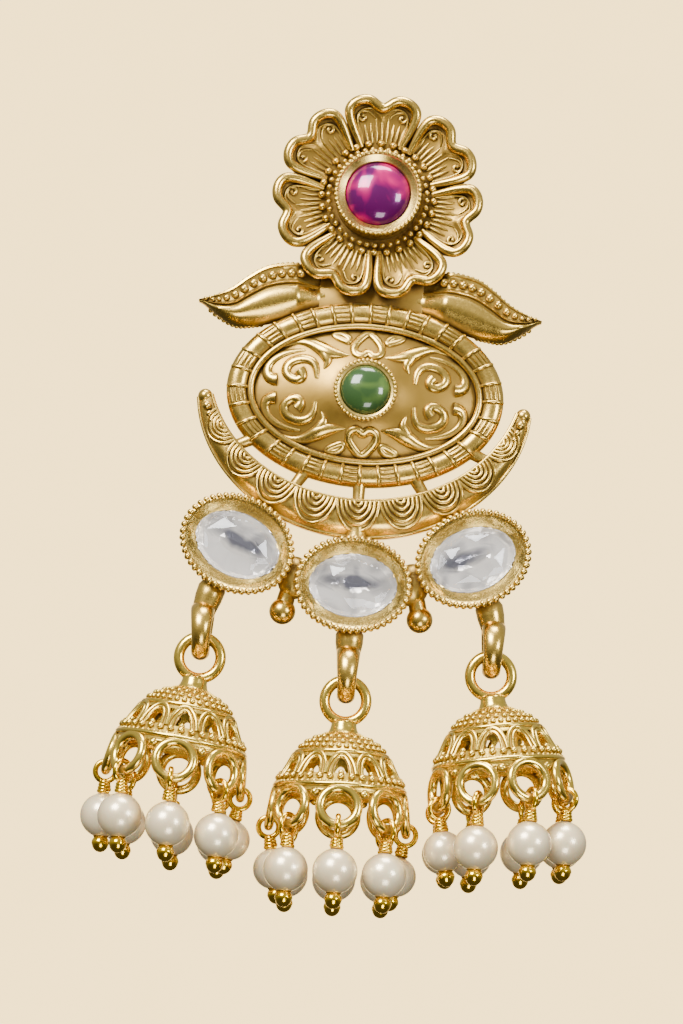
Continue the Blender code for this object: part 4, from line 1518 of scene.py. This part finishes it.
@dataclass
class Setting:
    """One oval setting: a deep cup with sloping walls, a milled rim, and the cut stone on foil."""

    side: Side
    centre: Vector
    turn: float
    half_width: float = 4.7
    half_height: float = 3.9
    height: float = 3.2
    stone_half_length: float = 3.5
    stone_half_width: float = 2.55
    seat: float = 1.3
    stone_height: float = 1.6

    @classmethod
    def all(cls) -> list[Setting]:
        """The three settings in their row.

        Returns:
            The left, the middle and the right one.
        """
        return [cls(Side.LEFT, Vector((-9.35, -29.05, 0)), math.radians(-24)),
                cls(Side.MIDDLE, Vector((0, -31.7, 0)), 0.0),
                cls(Side.RIGHT, Vector((9.35, -29.05, 0)), math.radians(24))]

    @property
    def place(self) -> Matrix:
        """From the setting's own middle to the lying head."""
        return Matrix.Translation(self.centre) @ Matrix.Rotation(self.turn, 4, "Z")

    def covers(self, spot: Vector, share: float) -> bool:
        """Whether a point of the head lies inside a share of the setting's outline."""
        own = Matrix.Rotation(-self.turn, 4, "Z") @ (spot - self.centre)
        return (own.x / self.half_width) ** 2 + (own.y / self.half_height) ** 2 < share**2

    def cup(self) -> Object:
        """The cup's walls, outside and in.

        Returns:
            The cup, in its place.
        """
        outside = ((0.96, 0.1), (0.6, 0.45), (0.3, 1.3), (0.16, 2.1), (0.14, 2.65), (0.2, 2.9), (0.4, 2.98),
                   (0.5, 2.92))
        rows = [ellipse(self.half_width - inset, self.half_height - inset, height, 72)
                for inset, height in outside]
        for share, height in ((0.25, 2.68), (0.6, 2.38), (1.0, 2.16)):
            width = (1 - share) * (self.half_width - 0.5) + share * (self.stone_half_length - 0.02)
            depth = (1 - share) * (self.half_height - 0.5) + share * (self.stone_half_width - 0.02)
            rows.append(ellipse(width, depth, height, 72))
        rows.append(ellipse(self.stone_half_length + 0.04, self.stone_half_width + 0.04, self.seat, 72))
        cup = smooth(lofted("setting_cup_" + self.side.value, rows), CAST_EDGES)
        cup.data.transform(self.place)
        return cup

    def rope(self) -> Object:
        """The milled rim, a row of slanting knobs.

        Returns:
            The rim, in its place.
        """
        width, depth = self.half_width - 0.25, self.half_height - 0.25
        knob = grain(0.3, 12, 8)
        slant = Matrix.Rotation(math.radians(30), 4, "Z")
        knob.data.transform(slant @ Matrix.Diagonal((0.82, 1.05, 1.0, 1.0)))
        places = []
        for angle in even_ellipse(width, depth, 48):
            place = Vector((width * math.cos(angle), depth * math.sin(angle), self.height - 0.34))
            heading = math.atan2(depth * math.cos(angle), -width * math.sin(angle))
            places.append(Matrix.Translation(place) @ Matrix.Rotation(heading, 4, "Z"))
        rope = smooth(repeated("setting_rope_" + self.side.value, knob, places), FINE_EDGES)
        rope.data.transform(self.place)
        return rope

    def stone(self) -> Object:
        """The cut stone: a table, a crown of three rows of facets, a girdle and a flat back.

        Returns:
            The stone, in its place.
        """
        low = self.seat + 0.2
        girdle = low + 0.4 * self.stone_height
        top = low + self.stone_height
        rows = ((0.5, top, 8, 0.5), (0.76, girdle + 0.68 * (top - girdle), 8, 0.0),
                (0.93, girdle + 0.26 * (top - girdle), 16, 0.5), (1.0, girdle + 0.04, 32, 0.5),
                (1.0, girdle - 0.06, 32, 0.5), (0.95, girdle - 0.14, 16, 0.0))
        deselect()
        parts = []
        for share, height, count, turn in rows:
            bpy.ops.mesh.primitive_circle_add(vertices=count, radius=1.0, fill_type="NOTHING")
            ring = bpy.context.object
            oval = Matrix.Diagonal((share * self.stone_half_length, share * self.stone_half_width, 1, 1))
            ring.data.transform(Matrix.Translation((0, 0, height)) @ oval
                                @ Matrix.Rotation(2 * math.pi * turn / count, 4, "Z"))
            parts.append(ring)
        stone = joined("clear_stone_" + self.side.value + "_cut", parts)
        edit(stone)
        bpy.ops.mesh.select_all(action="SELECT")
        bpy.ops.mesh.convex_hull()
        bpy.ops.mesh.select_all(action="SELECT")
        bpy.ops.mesh.dissolve_limited(angle_limit=math.radians(1.5))
        bpy.ops.mesh.normals_make_consistent(inside=False)
        bpy.ops.object.mode_set(mode="OBJECT")
        stone.data.transform(self.place)
        return stone

    def foil_plate(self) -> Object:
        """The foil under the stone: a faceted dish with a long ridge in its middle.

        Returns:
            The foil, in its place, with a map across it.
        """
        dish = ((0.97, 0.97, 0.02), (0.985, 0.985, 0.6), (0.76, 0.72, 0.16), (0.45, 0.3, 0.34),
                (0.36, 0.07, 0.55))
        length, width = self.stone_half_length, self.stone_half_width
        rows = [ellipse(along * length, across * width, self.seat + height, 12)
                for along, across, height in dish]
        plate = lofted("foil_" + self.side.value, rows)
        for layer in list(plate.data.uv_layers):
            plate.data.uv_layers.remove(layer)
        # this map places the foil's painted reflection streak
        across = plate.data.uv_layers.new(name=FOIL_MAP)
        for corner in plate.data.loops:
            spot = plate.data.vertices[corner.vertex_index].co
            across.data[corner.index].uv = (0.5 + 0.5 * spot.x / length, 0.5 + 0.5 * spot.y / width)
        plate.data.transform(self.place)
        return plate


@dataclass
class Joinery:
    """What joins the head's parts: tab, bars behind the settings, solder, small balls and fixed loops."""

    loop_wire: float = 0.62
    loop_radius: float = 1.75
    loop_rise: float = 2.15
    ball_radius: float = 1.05
    ball_across: float = 5.45
    ball_up: float = -34.0
    bar_height: float = 0.425
    bar_radius: float = 0.5
    neck_radius: float = 0.95
    neck_foot: float = -28.2
    neck_top: float = -26.0
    joint_angle: float = math.radians(37)
    solder_radius: float = 1.45
    stem_radius: float = 1.25
    stem_end_radius: float = 0.78

    def ball_centre(self, sign: int) -> Vector:
        """Middle of the small ball on one side."""
        return Vector((sign * self.ball_across, self.ball_up, HEAD_MIDDLE))

    def bars(self, crescent: Crescent, settings: Sequence[Setting]) -> Object:
        """Bars between the settings and to the crescent, solder where settings meet, and the balls' stems.

        Args:
            crescent: The crescent that the row hangs from.
            settings: The three settings.

        Returns:
            The bars, as one mesh.
        """
        low = Vector((0, 0, self.bar_height))
        middle = next(s for s in settings if s.side is Side.MIDDLE)
        foot, top = (Vector((0, height, HEAD_MIDDLE)) for height in (self.neck_foot, self.neck_top))
        parts = [bar("neck", foot, top, self.neck_radius, self.neck_radius, 24)]
        for setting in settings:
            if setting.side is Side.MIDDLE:
                continue
            start = setting.centre + low
            parts.append(bar("row_bar", start, middle.centre + low, self.bar_radius, self.bar_radius))
            joint, _, _, _ = crescent.axes(setting.side.sign * self.joint_angle)
            parts.append(bar("crescent_bar", start, joint + low, self.bar_radius, self.bar_radius))
            between = (setting.centre + middle.centre) / 2 + Vector((0, 0, HEAD_MIDDLE))
            solder = grain(self.solder_radius, 24, 16)
            solder.data.transform(Matrix.Translation(between + Vector((0, -0.9, 0.1)))
                                  @ Matrix.Diagonal((0.95, 1.2, 0.8, 1.0)))
            parts.append(solder)
            parts.append(bar("ball_stem", between, self.ball_centre(setting.side.sign),
                             self.stem_radius, self.stem_end_radius))
        return smooth(joined("head_bars", parts), FINE_EDGES)

    def balls(self) -> Object:
        """The small balls between the settings."""
        places = [Matrix.Translation(self.ball_centre(sign)) for sign in (-1, 1)]
        return smooth(repeated("head_balls", grain(self.ball_radius, 32, 20), places), FINE_EDGES)

    def loop(self, centre: Vector) -> Object:
        """One fixed loop, edge on to the viewer, broad above and drawn down to its wire below.

        Args:
            centre: The loop's middle.

        Returns:
            The loop.
        """
        rows = []
        around, across = 56, 20
        for i in range(around):
            turn = 2 * math.pi * i / around
            spread = 0.72 + 0.24 * max(0.0, 0.35 + 0.65 * math.cos(turn)) ** 1.2
            row = []
            for k in range(across):
                angle = 2 * math.pi * k / across
                radius = self.loop_radius + self.loop_wire * math.cos(angle)
                row.append(centre + Vector((spread * math.sin(angle), radius * math.cos(turn),
                                            radius * math.sin(turn))))
            rows.append(row)
        rows.append([point.copy() for point in rows[0]])
        return smooth(close_up(lofted("loop", rows, False)), FINE_EDGES)

    def loops(self, bells: Sequence[Bell], settings: Sequence[Setting]) -> Object:
        """The fixed loops, each growing out of a thick root under its setting.

        Args:
            bells: The bells that hang from the loops.
            settings: The settings above them.

        Returns:
            The loops and roots, as one mesh.
        """
        parts = []
        for bell in bells:
            setting = next(s for s in settings if s.side is bell.side)
            centre = Vector((bell.ring.x, bell.ring.z + self.loop_rise, HEAD_MIDDLE))
            parts.append(self.loop(centre))
            top = centre + Vector((0, self.loop_radius - 0.3, 0))
            foot = top.copy()
            while not setting.covers(foot, 0.84):
                foot += Vector((0.01 * (setting.centre.x - top.x), 0.08, 0.0))
            direction = (top - foot).normalized()
            length = (top - foot).length
            root = turned("root", [(0.0, 0.0), (0.8, 0.0), (1.12, 0.25 * length), (1.1, 0.55 * length),
                                   (0.98, 0.85 * length), (0.9, length + 0.1), (0.6, length + 0.4),
                                   (0.0, length + 0.5)], 28)
            root.data.transform(rising(foot, direction))
            parts.append(smooth(root, FINE_EDGES))
        return joined("head_loops", parts)

    def tab(self) -> Object:
        """The plate behind flower, leaves and plaque.

        Returns:
            The plate.
        """
        deselect()
        bpy.ops.mesh.primitive_cube_add(size=1.0)
        obj = bpy.context.object
        obj.name = "head_tab"
        obj.data.transform(Matrix.Translation((0, -8.37, 0.55)) @ Matrix.Diagonal((8.4, 6.66, 0.76, 1.0)))
        return smooth(bevelled(obj, 0.16))


@dataclass(frozen=True)
class Opening:
    """An outline on a bell, its sides as shares of half its angle and of its height from the foot up."""

    half_angle: float
    foot: float
    tip: float
    sides: tuple[Point, ...]

    def outline(self) -> list[Point]:
        """The outline as (angle, height), over the tip from foot to foot."""
        side = [(self.half_angle * a, self.foot + (self.tip - self.foot) * s) for a, s in self.sides]
        return side + [(0.0, self.tip)] + [(-a, z) for a, z in reversed(side)]


ROUND_SIDES = ((1.0, 0.0), (0.97, 0.3), (0.83, 0.62), (0.5, 0.9))
POINTED_SIDES = ((1.0, 0.0), (0.8, 0.3), (0.5, 0.62), (0.22, 0.88))
ARCH = Opening(half_angle=0.14, foot=-6.12, tip=-4.86, sides=ROUND_SIDES)
SPIKE = Opening(half_angle=0.1, foot=-4.72, tip=-5.6, sides=POINTED_SIDES)
OUTER_WIRE = Opening(half_angle=0.255, foot=-6.2, tip=-4.42, sides=ROUND_SIDES)
INNER_WIRE = Opening(half_angle=0.165, foot=-6.2, tip=-4.72, sides=ROUND_SIDES)


@dataclass
class Bell:
    """One pierced bell: ring, neck, dome with arched openings, grains, band and skirt rings."""

    side: Side
    ring: Vector
    lean: float
    turn: float
    ring_radius: float = 1.65
    ring_wire: float = 0.43
    wall: float = 0.6
    rings: int = 8
    arches: int = 12
    skirt_radius: float = 1.46
    skirt_flare: float = math.radians(8)
    skirt_centre: float = 5.208
    skirt_z: float = -8.771
    dome: tuple[float, ...] = (1.3, 2.45, 3.12, 3.6, 3.94, 4.25, 4.55, 4.83, 5.09)
    dome_top: float = -2.65
    band_top: float = -7.05
    band_bottom: float = -7.6
    band_radius: float = 5.1

    @classmethod
    def all(cls) -> list[Bell]:
        """The three bells, the outer ones leaning a little outwards.

        Returns:
            The left, the middle and the right one.
        """
        lean = math.radians(8)
        return [cls(Side.LEFT, Vector((-11.717, -1.2, -38.1)), lean, 0.0),
                cls(Side.MIDDLE, Vector((0, -1.2, -40.8)), 0.0, 0.0),
                cls(Side.RIGHT, Vector((11.354, -1.2, -38.1)), -lean, math.radians(22.5))]

    @property
    def body(self) -> Body:
        """The rigid body that the bell is."""
        return Body.of_bell(self.side)

    @property
    def place(self) -> Matrix:
        """From the bell's millimetres to the frame."""
        return MILLIMETRE @ Matrix.Translation(self.ring) @ Matrix.Rotation(self.lean, 4, "Y")

    def ring_direction(self, k: float) -> float:
        """Direction of a skirt ring about the axis."""
        return 2 * math.pi * k / self.rings + self.turn - math.pi / 2

    def arch_direction(self, k: float) -> float:
        """Direction of an arch about the axis."""
        return 2 * math.pi * k / self.arches + self.turn - math.pi / 2

    def radius(self, z: float) -> float:
        """The dome's outer radius at a height."""
        return blended(self.dome, min(1.0, max(0.0, (self.dome_top - z) / (self.dome_top - self.band_top))))

    def on_dome(self, angle: float, z: float, lift: float = 0.0) -> Vector:
        """A point on the dome."""
        return polar(self.radius(z) + lift, angle, z)

    def shell(self) -> Object:
        """Neck, dome and band as one wall, with the openings cut through.

        Returns:
            The wall.
        """
        outer = [(0.0, -1.42), (0.62, -1.46), (0.92, -1.6), (1.0, -1.8), (1.02, -2.05), (1.1, -2.3),
                 (1.2, -2.5)]
        outer += [(self.radius(self.dome_top - 0.22 * i), self.dome_top - 0.22 * i) for i in range(21)]
        outer += [(self.band_radius, -7.2), (self.band_radius, self.band_bottom)]
        inner = [(self.band_radius - self.wall, self.band_bottom)]
        inner += [(self.radius(z) - self.wall, z) for z in (-7.05, -6.5, -6.0, -5.5, -5.0, -4.5, -4.0, -3.6)]
        shell = turned("bell_shell", outer + inner + [(0.0, -3.3)], 120)
        cutters = [self.cutter(self.arch_direction(k), ARCH) for k in range(self.arches)]
        cutters += [self.cutter(self.arch_direction(k + 0.5), SPIKE) for k in range(self.arches)]
        return smooth(cut_by(shell, joined("openings", cutters)), 45.0)

    def cutter(self, direction: float, opening: Opening) -> Object:
        """A radial prism that cuts one opening."""
        rows = [[polar(radius, direction + a, z) for a, z in opening.outline()] for radius in (2.0, 7.0)]
        return lofted("opening", rows)

    def lines(self) -> Object:
        """Wires round cap and band, the flutes under the neck and the double wires of the arches.

        Returns:
            The wires, as one mesh.
        """
        strokes = []
        for z, lift, weight in ((-4.28, 0.03, 1.2), (self.band_top + 0.05, 0.05, 1.45),
                                (self.band_bottom + 0.1, 0.0, 0.8)):
            course = [self.on_dome(2 * math.pi * k / 48, z, lift) for k in range(48)]
            strokes.append(Stroke(course, [weight] * 48, True))
        for k in range(20):
            course = [self.on_dome(2 * math.pi * k / 20, z) for z in (-2.62, -2.8, -2.98)]
            strokes.append(Stroke(course, (0.7, 0.9, 0.9)))
        for k in range(self.arches):
            for wire, weight in ((OUTER_WIRE, 1.2), (INNER_WIRE, 0.9)):
                course = [self.on_dome(self.arch_direction(k) + a, z, 0.05) for a, z in wire.outline()]
                strokes.append(Stroke(course, [weight] * len(course)))
        return smooth(wires("bell_lines", strokes, 0.15, 8, 3), FINE_EDGES)

    def grains(self) -> list[Object]:
        """Rows of grains under the neck, and the small heaps at the feet of the arches.

        Returns:
            The rows and the heaps.
        """
        parts = []
        for z, size, count in ((-3.08, 0.21, 22), (-3.46, 0.24, 28), (-3.88, 0.25, 34), (-6.82, 0.17, 60)):
            spots = [self.on_dome(2 * math.pi * k / count, z, 0.03) for k in range(count)]
            parts.append(repeated("grains", grain(size, 10, 7), [Matrix.Translation(spot) for spot in spots]))
        heap = ((-0.175, -6.42, 1.0), (0.0, -6.42, 1.0), (0.175, -6.42, 1.0), (0.0, -6.08, 0.8))
        places = [sized(self.on_dome(self.arch_direction(k) + turn, z, 0.06), size)
                  for k in range(self.arches) for turn, z, size in heap]
        parts.append(repeated("grains", grain(0.31, 12, 8), places))
        return [smooth(part, FINE_EDGES) for part in parts]

    def hanging_ring(self) -> Object:
        """The ring that hangs in the fixed loop.

        Returns:
            The ring.
        """
        ring = turned("ring", ring_profile(self.ring_radius, self.ring_wire, self.ring_wire, 16), 56)
        ring.data.transform(UPRIGHT)
        return smooth(ring)

    def skirt_rings(self) -> list[Object]:
        """The skirt's thick rings, and a grain where each two meet under the band.

        Returns:
            The rings and the grains.
        """
        ring = turned("skirt_ring", ring_profile(self.skirt_radius, 0.39, 0.37, 16), 44)
        places = [Matrix.Rotation(self.ring_direction(k), 4, "Z")
                  @ Matrix.Translation((self.skirt_centre, 0, self.skirt_z))
                  @ Matrix.Rotation(math.pi / 2 - self.skirt_flare, 4, "Y") for k in range(self.rings)]
        rings = smooth(repeated("skirt_rings", ring, places), FINE_EDGES)
        between = [Matrix.Translation(polar(4.98, self.ring_direction(k + 0.5), -7.72))
                   for k in range(self.rings)]
        return [rings, smooth(repeated("skirt_grains", grain(0.42, 14, 9), between), FINE_EDGES)]

    def build(self) -> Object:
        """Models the bell as one object in its own millimetres."""
        parts = [self.shell(), self.lines(), *self.grains(), self.hanging_ring(), *self.skirt_rings()]
        return joined("bell_" + self.side.value + "_metal", parts)


@dataclass
class PearlDrop:
    """A pearl on a wrapped pin with a ball at its end, drawn from the wire that it hangs on."""

    radius: float
    wire: float = 0.22
    loop_radius: float = 0.8
    wrap_top: float = -0.8
    wrap_length: float = 1.1
    wrap_radius: float = 0.55
    ball_radius: float = 0.7

    @property
    def centre(self) -> float:
        """Height of the pearl's middle."""
        return self.wrap_top - self.wrap_length - math.sqrt(self.radius**2 - self.wrap_radius**2)

    def pearl(self) -> Object:
        """The pearl, with the small dimples of its drill hole.

        Returns:
            The pearl.
        """
        profile = []
        steps = 26
        for i in range(steps + 1):
            angle = math.pi * i / steps
            dimple = 0.05 if i in (0, steps) else 0.0
            profile.append((self.radius * math.sin(angle) if 0 < i < steps else 0.0,
                            self.centre + (self.radius - dimple) * math.cos(angle)))
        return smooth(turned("pearl", profile, 40), FINE_EDGES)

    def end_profile(self, middle: float) -> list[Point]:
        """Half profile of the end ball, a little narrower below its middle.

        Args:
            middle: Height of the ball's middle.

        Returns:
            The points, from the top down.
        """
        profile = [(0.0, middle + self.ball_radius)]
        for i in range(1, 16):
            angle = math.pi * i / 16
            narrowing = 1.0 if i < 9 else 0.94
            profile.append((self.ball_radius * math.sin(angle) * narrowing,
                            middle + self.ball_radius * math.cos(angle)))
        return profile + [(0.0, middle - self.ball_radius)]

    def pin(self) -> Object:
        """Loop, wrapped neck, cap and end ball.

        Returns:
            The pin, as one mesh.
        """
        loop = turned("pin_loop", ring_profile(self.loop_radius, self.wire, self.wire, 12), 32)
        loop.data.transform(Matrix.Translation((0, 0, -0.1)) @ UPRIGHT)
        coil = []
        winds = 3.4
        count = int(winds * 10)
        for k in range(count + 1):
            height = self.wrap_top - 0.12 - (self.wrap_length - 0.26) * k / count
            coil.append(polar(0.3 + 0.14 * (k / count), 2 * math.pi * winds * k / count, height))
        wrap = wires("pin_wrap", [Stroke(coil)], 0.18, 8, 2)
        hidden = 0.65 * self.ball_radius
        low = self.centre - math.sqrt(self.radius**2 - hidden**2)
        end = turned("pin_end", self.end_profile(low - math.sqrt(self.ball_radius**2 - hidden**2)), 24)
        cap = turned("pin_cap", [(0.0, low + 0.3), (0.5, low + 0.22), (0.62, low + 0.02), (0.5, low - 0.12),
                                 (0.0, low - 0.12)], 24)
        top = Vector((0, 0, self.wrap_top + 0.1))
        core = bar("pin_core", top, Vector((0, 0, self.centre + self.radius - 0.2)), 0.26, 0.26, 12)
        return smooth(joined("pin", [loop, wrap, end, cap, core]), FINE_EDGES)


@dataclass
class Fringe:
    """The pearl drops of one bell."""

    bell: Bell
    pearl_radius: float = 1.75
    close_pearl_radius: float = 1.6
    hang_radius: float = 5.411
    hang_z: float = -10.217
    side_lean: float = math.radians(10)

    def faces_neighbour(self, k: int) -> bool:
        """Whether a drop hangs close to another bell.

        Args:
            k: Number of the drop's skirt ring.

        Returns:
            Whether it does.
        """
        toward = math.cos(self.bell.ring_direction(k))
        side = self.bell.side
        return abs(toward) > 0.9 and (side is Side.MIDDLE or (toward > 0) == (side is Side.LEFT))

    def radius(self, k: int) -> float:
        """Radius of a drop's pearl."""
        return self.close_pearl_radius if self.faces_neighbour(k) else self.pearl_radius

    def place(self, k: int) -> Matrix:
        """From a drop's millimetres to the frame.

        Args:
            k: Number of the drop's skirt ring.

        Returns:
            The drop's place.
        """
        turn = self.bell.ring_direction(k)
        hang = polar(self.hang_radius, turn, self.hang_z)
        hang.rotate(Matrix.Rotation(self.bell.lean, 3, "Y"))
        lean = self.side_lean if self.faces_neighbour(k) else 0.0
        return (MILLIMETRE @ Matrix.Translation(self.bell.ring + hang) @ Matrix.Rotation(turn, 4, "Z")
                @ Matrix.Rotation(lean, 4, "Y"))


def copy_of(pattern: Object, name: str) -> Object:
    """A copy with its own mesh.

    Args:
        pattern: The mesh object to copy.
        name: The copy's name.

    Returns:
        The copy.
    """
    copy = bpy.data.objects.new(name, pattern.data.copy())
    bpy.context.scene.collection.objects.link(copy)
    return copy


def add_head(finishes: Finishes, bells: Sequence[Bell]) -> None:
    """Builds the head's metal and stones.

    Args:
        finishes: Every finish.
        bells: The bells, for which the head has loops.
    """
    flower, plaque, crescent, joinery = Flower(), Plaque(), Crescent(), Joinery()
    settings = Setting.all()
    metal = flower.build() + plaque.build() + crescent.build()
    for side in (Side.LEFT, Side.RIGHT):
        metal += Leaf(side).build()
    metal += [setting.rope() for setting in settings]
    metal += [joinery.bars(crescent, settings), joinery.balls(), joinery.loops(bells, settings)]
    aged = [flower.petals_mesh(), plaque.field_plate(), joinery.tab()]
    pale = [flower.stonework.lining("flower_cup_slope"), plaque.stonework.lining("plaque_cup_slope")]
    pale += [setting.cup() for setting in settings]
    for pieces, finish in ((metal, finishes.antique_gold), (aged, finishes.aged_gold),
                           (pale, finishes.pale_gold)):
        for piece in pieces:
            settle(piece, STANDING, finish, Body.HEAD, CAST_GOLD, HEAD_NODE)
    magenta, green = flower.stonework.stone("magenta_dome"), plaque.stonework.stone("green_dome")
    settle(magenta, STANDING, finishes.magenta, Body.HEAD, "magenta_glass", "magenta_cabochon")
    settle(green, STANDING, finishes.green, Body.HEAD, "green_glass", "green_cabochon")
    for setting in settings:
        node = "clear_stone_" + setting.side.value
        settle(setting.stone(), STANDING, finishes.glass, Body.HEAD, "clear_glass", node)
        settle(setting.foil_plate(), STANDING, finishes.foil, Body.HEAD, "clear_glass", node)


def add_post(finishes: Finishes) -> None:
    """Builds the post on its foot behind the flower.

    Args:
        finishes: Every finish.
    """
    profile = [(0.0, -0.2), (2.3, -0.2), (2.4, -0.28), (2.4, -0.6), (2.28, -0.7), (0.75, -0.7), (0.5, -0.82),
               (0.45, -1.1), (0.45, -9.3), (0.36, -9.45), (0.36, -9.65), (0.45, -9.8), (0.45, -10.75),
               (0.36, -11.02), (0.18, -11.18), (0.0, -11.2)]
    post = smooth(bevelled(turned("ear_post_metal", profile, 48), 0.03, 40.0))
    settle(post, STANDING, finishes.post_metal, Body.HEAD, "post_metal", "ear_post")


def add_bells(finishes: Finishes, bells: Sequence[Bell]) -> None:
    """Builds the bells and their pearl drops.

    Args:
        finishes: Every finish.
        bells: The bells.
    """
    patterns = {}
    for radius in (Fringe.pearl_radius, Fringe.close_pearl_radius):
        drop = PearlDrop(radius)
        patterns[radius] = (drop.pearl(), drop.pin())
    for bell in bells:
        side = bell.side.value
        settle(bell.build(), bell.place, finishes.bright_gold, bell.body, "bright_gold", "bell_" + side)
        fringe = Fringe(bell)
        for k in range(bell.rings):
            label = f"{side}_{k + 1}"
            node = "pearl_drop_" + label
            pearl, pin = (copy_of(pattern, kind + label)
                          for pattern, kind in zip(patterns[fringe.radius(k)], ("pearl_", "pin_")))
            settle(pearl, fringe.place(k), finishes.pearl, bell.body, "pearl", node)
            settle(pin, fringe.place(k), finishes.pin_gold, bell.body, "bright_gold", node)
    for pearl, pin in patterns.values():
        bpy.data.objects.remove(pearl)
        bpy.data.objects.remove(pin)


@dataclass(frozen=True)
class SoftLight:
    """A square soft light: its middle and side in metres, its power in watts."""

    name: str
    place: tuple[float, float, float]
    side: float
    power: float
    colour: Colour


LIGHTS = (
    SoftLight("key", (-0.18, -0.3, 0.22), 0.19, 4.0, (1.0, 0.99, 0.97)),
    SoftLight("fill", (0.26, -0.26, 0.02), 0.1, 0.9, (0.95, 0.97, 1.0)),
    SoftLight("top", (0.02, -0.04, 0.32), 0.16, 2.0, (1.0, 1.0, 1.0)),
    SoftLight("low", (0.05, -0.25, -0.25), 0.12, 0.5, (1.0, 0.98, 0.95)),
)


@dataclass
class Studio:
    """Backdrop, soft lights and the camera at the photo's angle, with places in metres."""

    elevation: float = math.radians(-9)
    roll: float = math.radians(3.7)
    lens: float = 135.0
    sensor: float = 36.0
    frame_height: float = 0.0829
    origin_right: float = 0.0029
    origin_up: float = 0.0251
    lit_point: Vector = field(default_factory=lambda: Vector((0, 0, -0.03)))
    paper_size: float = 0.46
    paper_place: tuple[float, float, float] = (0, 0.62, 0.07)
    room_low: Colour = (0.15, 0.14, 0.125)
    room_high: Colour = (0.95, 0.95, 0.95)
    room_strength: float = 0.5

    def axes(self) -> tuple[Vector, Vector, Vector]:
        """The picture's right, up and forward directions in the frame.

        Returns:
            The three directions.
        """
        forward = Vector((0, math.cos(self.elevation), -math.sin(self.elevation)))
        up = Vector((0, math.sin(self.elevation), math.cos(self.elevation)))
        right = Vector((1, 0, 0))
        turned_right = right * math.cos(self.roll) + up * math.sin(self.roll)
        turned_up = up * math.cos(self.roll) - right * math.sin(self.roll)
        return turned_right, turned_up, forward

    def camera(self) -> Object:
        """A long lens that shows the earring as large as twice its size in the photo.

        Returns:
            The camera.
        """
        data = bpy.data.cameras.new("camera")
        data.lens = self.lens
        data.sensor_width = self.sensor
        data.sensor_fit = "AUTO"
        data.clip_start = 0.01
        data.dof.use_dof = False
        right, up, forward = self.axes()
        distance = self.frame_height / 2 / (self.sensor / 2 / self.lens)
        target = -self.origin_right * right - self.origin_up * up
        obj = bpy.data.objects.new("camera", data)
        obj.matrix_world = Matrix((
            (right.x, up.x, -forward.x, target.x - forward.x * distance),
            (right.y, up.y, -forward.y, target.y - forward.y * distance),
            (right.z, up.z, -forward.z, target.z - forward.z * distance),
            (0, 0, 0, 1)))
        bpy.context.scene.collection.objects.link(obj)
        bpy.context.scene.camera = obj
        return obj

    def light(self, light: SoftLight) -> Object:
        """Puts up a light that shines at the earring's middle.

        Args:
            light: The light.

        Returns:
            Its object.
        """
        data = bpy.data.lights.new(light.name, "AREA")
        data.size = light.side
        data.energy = light.power
        data.color = light.colour
        obj = bpy.data.objects.new(light.name, data)
        obj.location = light.place
        obj.rotation_euler = (self.lit_point - Vector(light.place)).to_track_quat("-Z", "Y").to_euler()
        bpy.context.scene.collection.objects.link(obj)
        return obj

    def backdrop(self) -> Object:
        """Plain paper behind the earring.

        Returns:
            The paper.
        """
        deselect()
        bpy.ops.mesh.primitive_plane_add(size=self.paper_size, location=self.paper_place,
                                         rotation=(math.radians(90), 0, 0))
        paper = bpy.context.object
        paper.name = "backdrop"
        bpy.ops.object.transform_apply(location=True, rotation=True, scale=True)
        paper.data.materials.append(BackdropFinish().build())
        return paper

    def world(self) -> None:
        """A pale room: bright above, warmer and darker below."""
        world = bpy.data.worlds.new("pale_room")
        bpy.context.scene.world = world
        world.use_nodes = True
        wiring = Wiring(world.node_tree)
        direction = wiring.node("ShaderNodeTexCoord").outputs["Generated"]
        height = wiring.node("ShaderNodeSeparateXYZ", {0: direction}).outputs["Z"]
        blend = wiring.ramp(wiring.math("MULTIPLY_ADD", height, 0.5, 0.5), (0.27, 0.0), (0.66, 1.0))
        colour = wiring.mix(blend, rgba(self.room_low), rgba(self.room_high))
        wiring.feed(world.node_tree.nodes["Background"], {"Color": colour, "Strength": self.room_strength})

    def build(self) -> None:
        """Sets up the studio."""
        self.backdrop()
        for light in LIGHTS:
            self.light(light)
        self.world()
        self.camera()


def main() -> None:
    """Builds the earring's looks, then the studio."""
    logging.basicConfig(level=logging.INFO, format="%(name)s: %(message)s")
    deselect()
    finishes = Finishes.made()
    bells = Bell.all()
    add_head(finishes, bells)
    add_post(finishes)
    add_bells(finishes, bells)
    Studio().build()


if __name__ == "__main__":
    main()
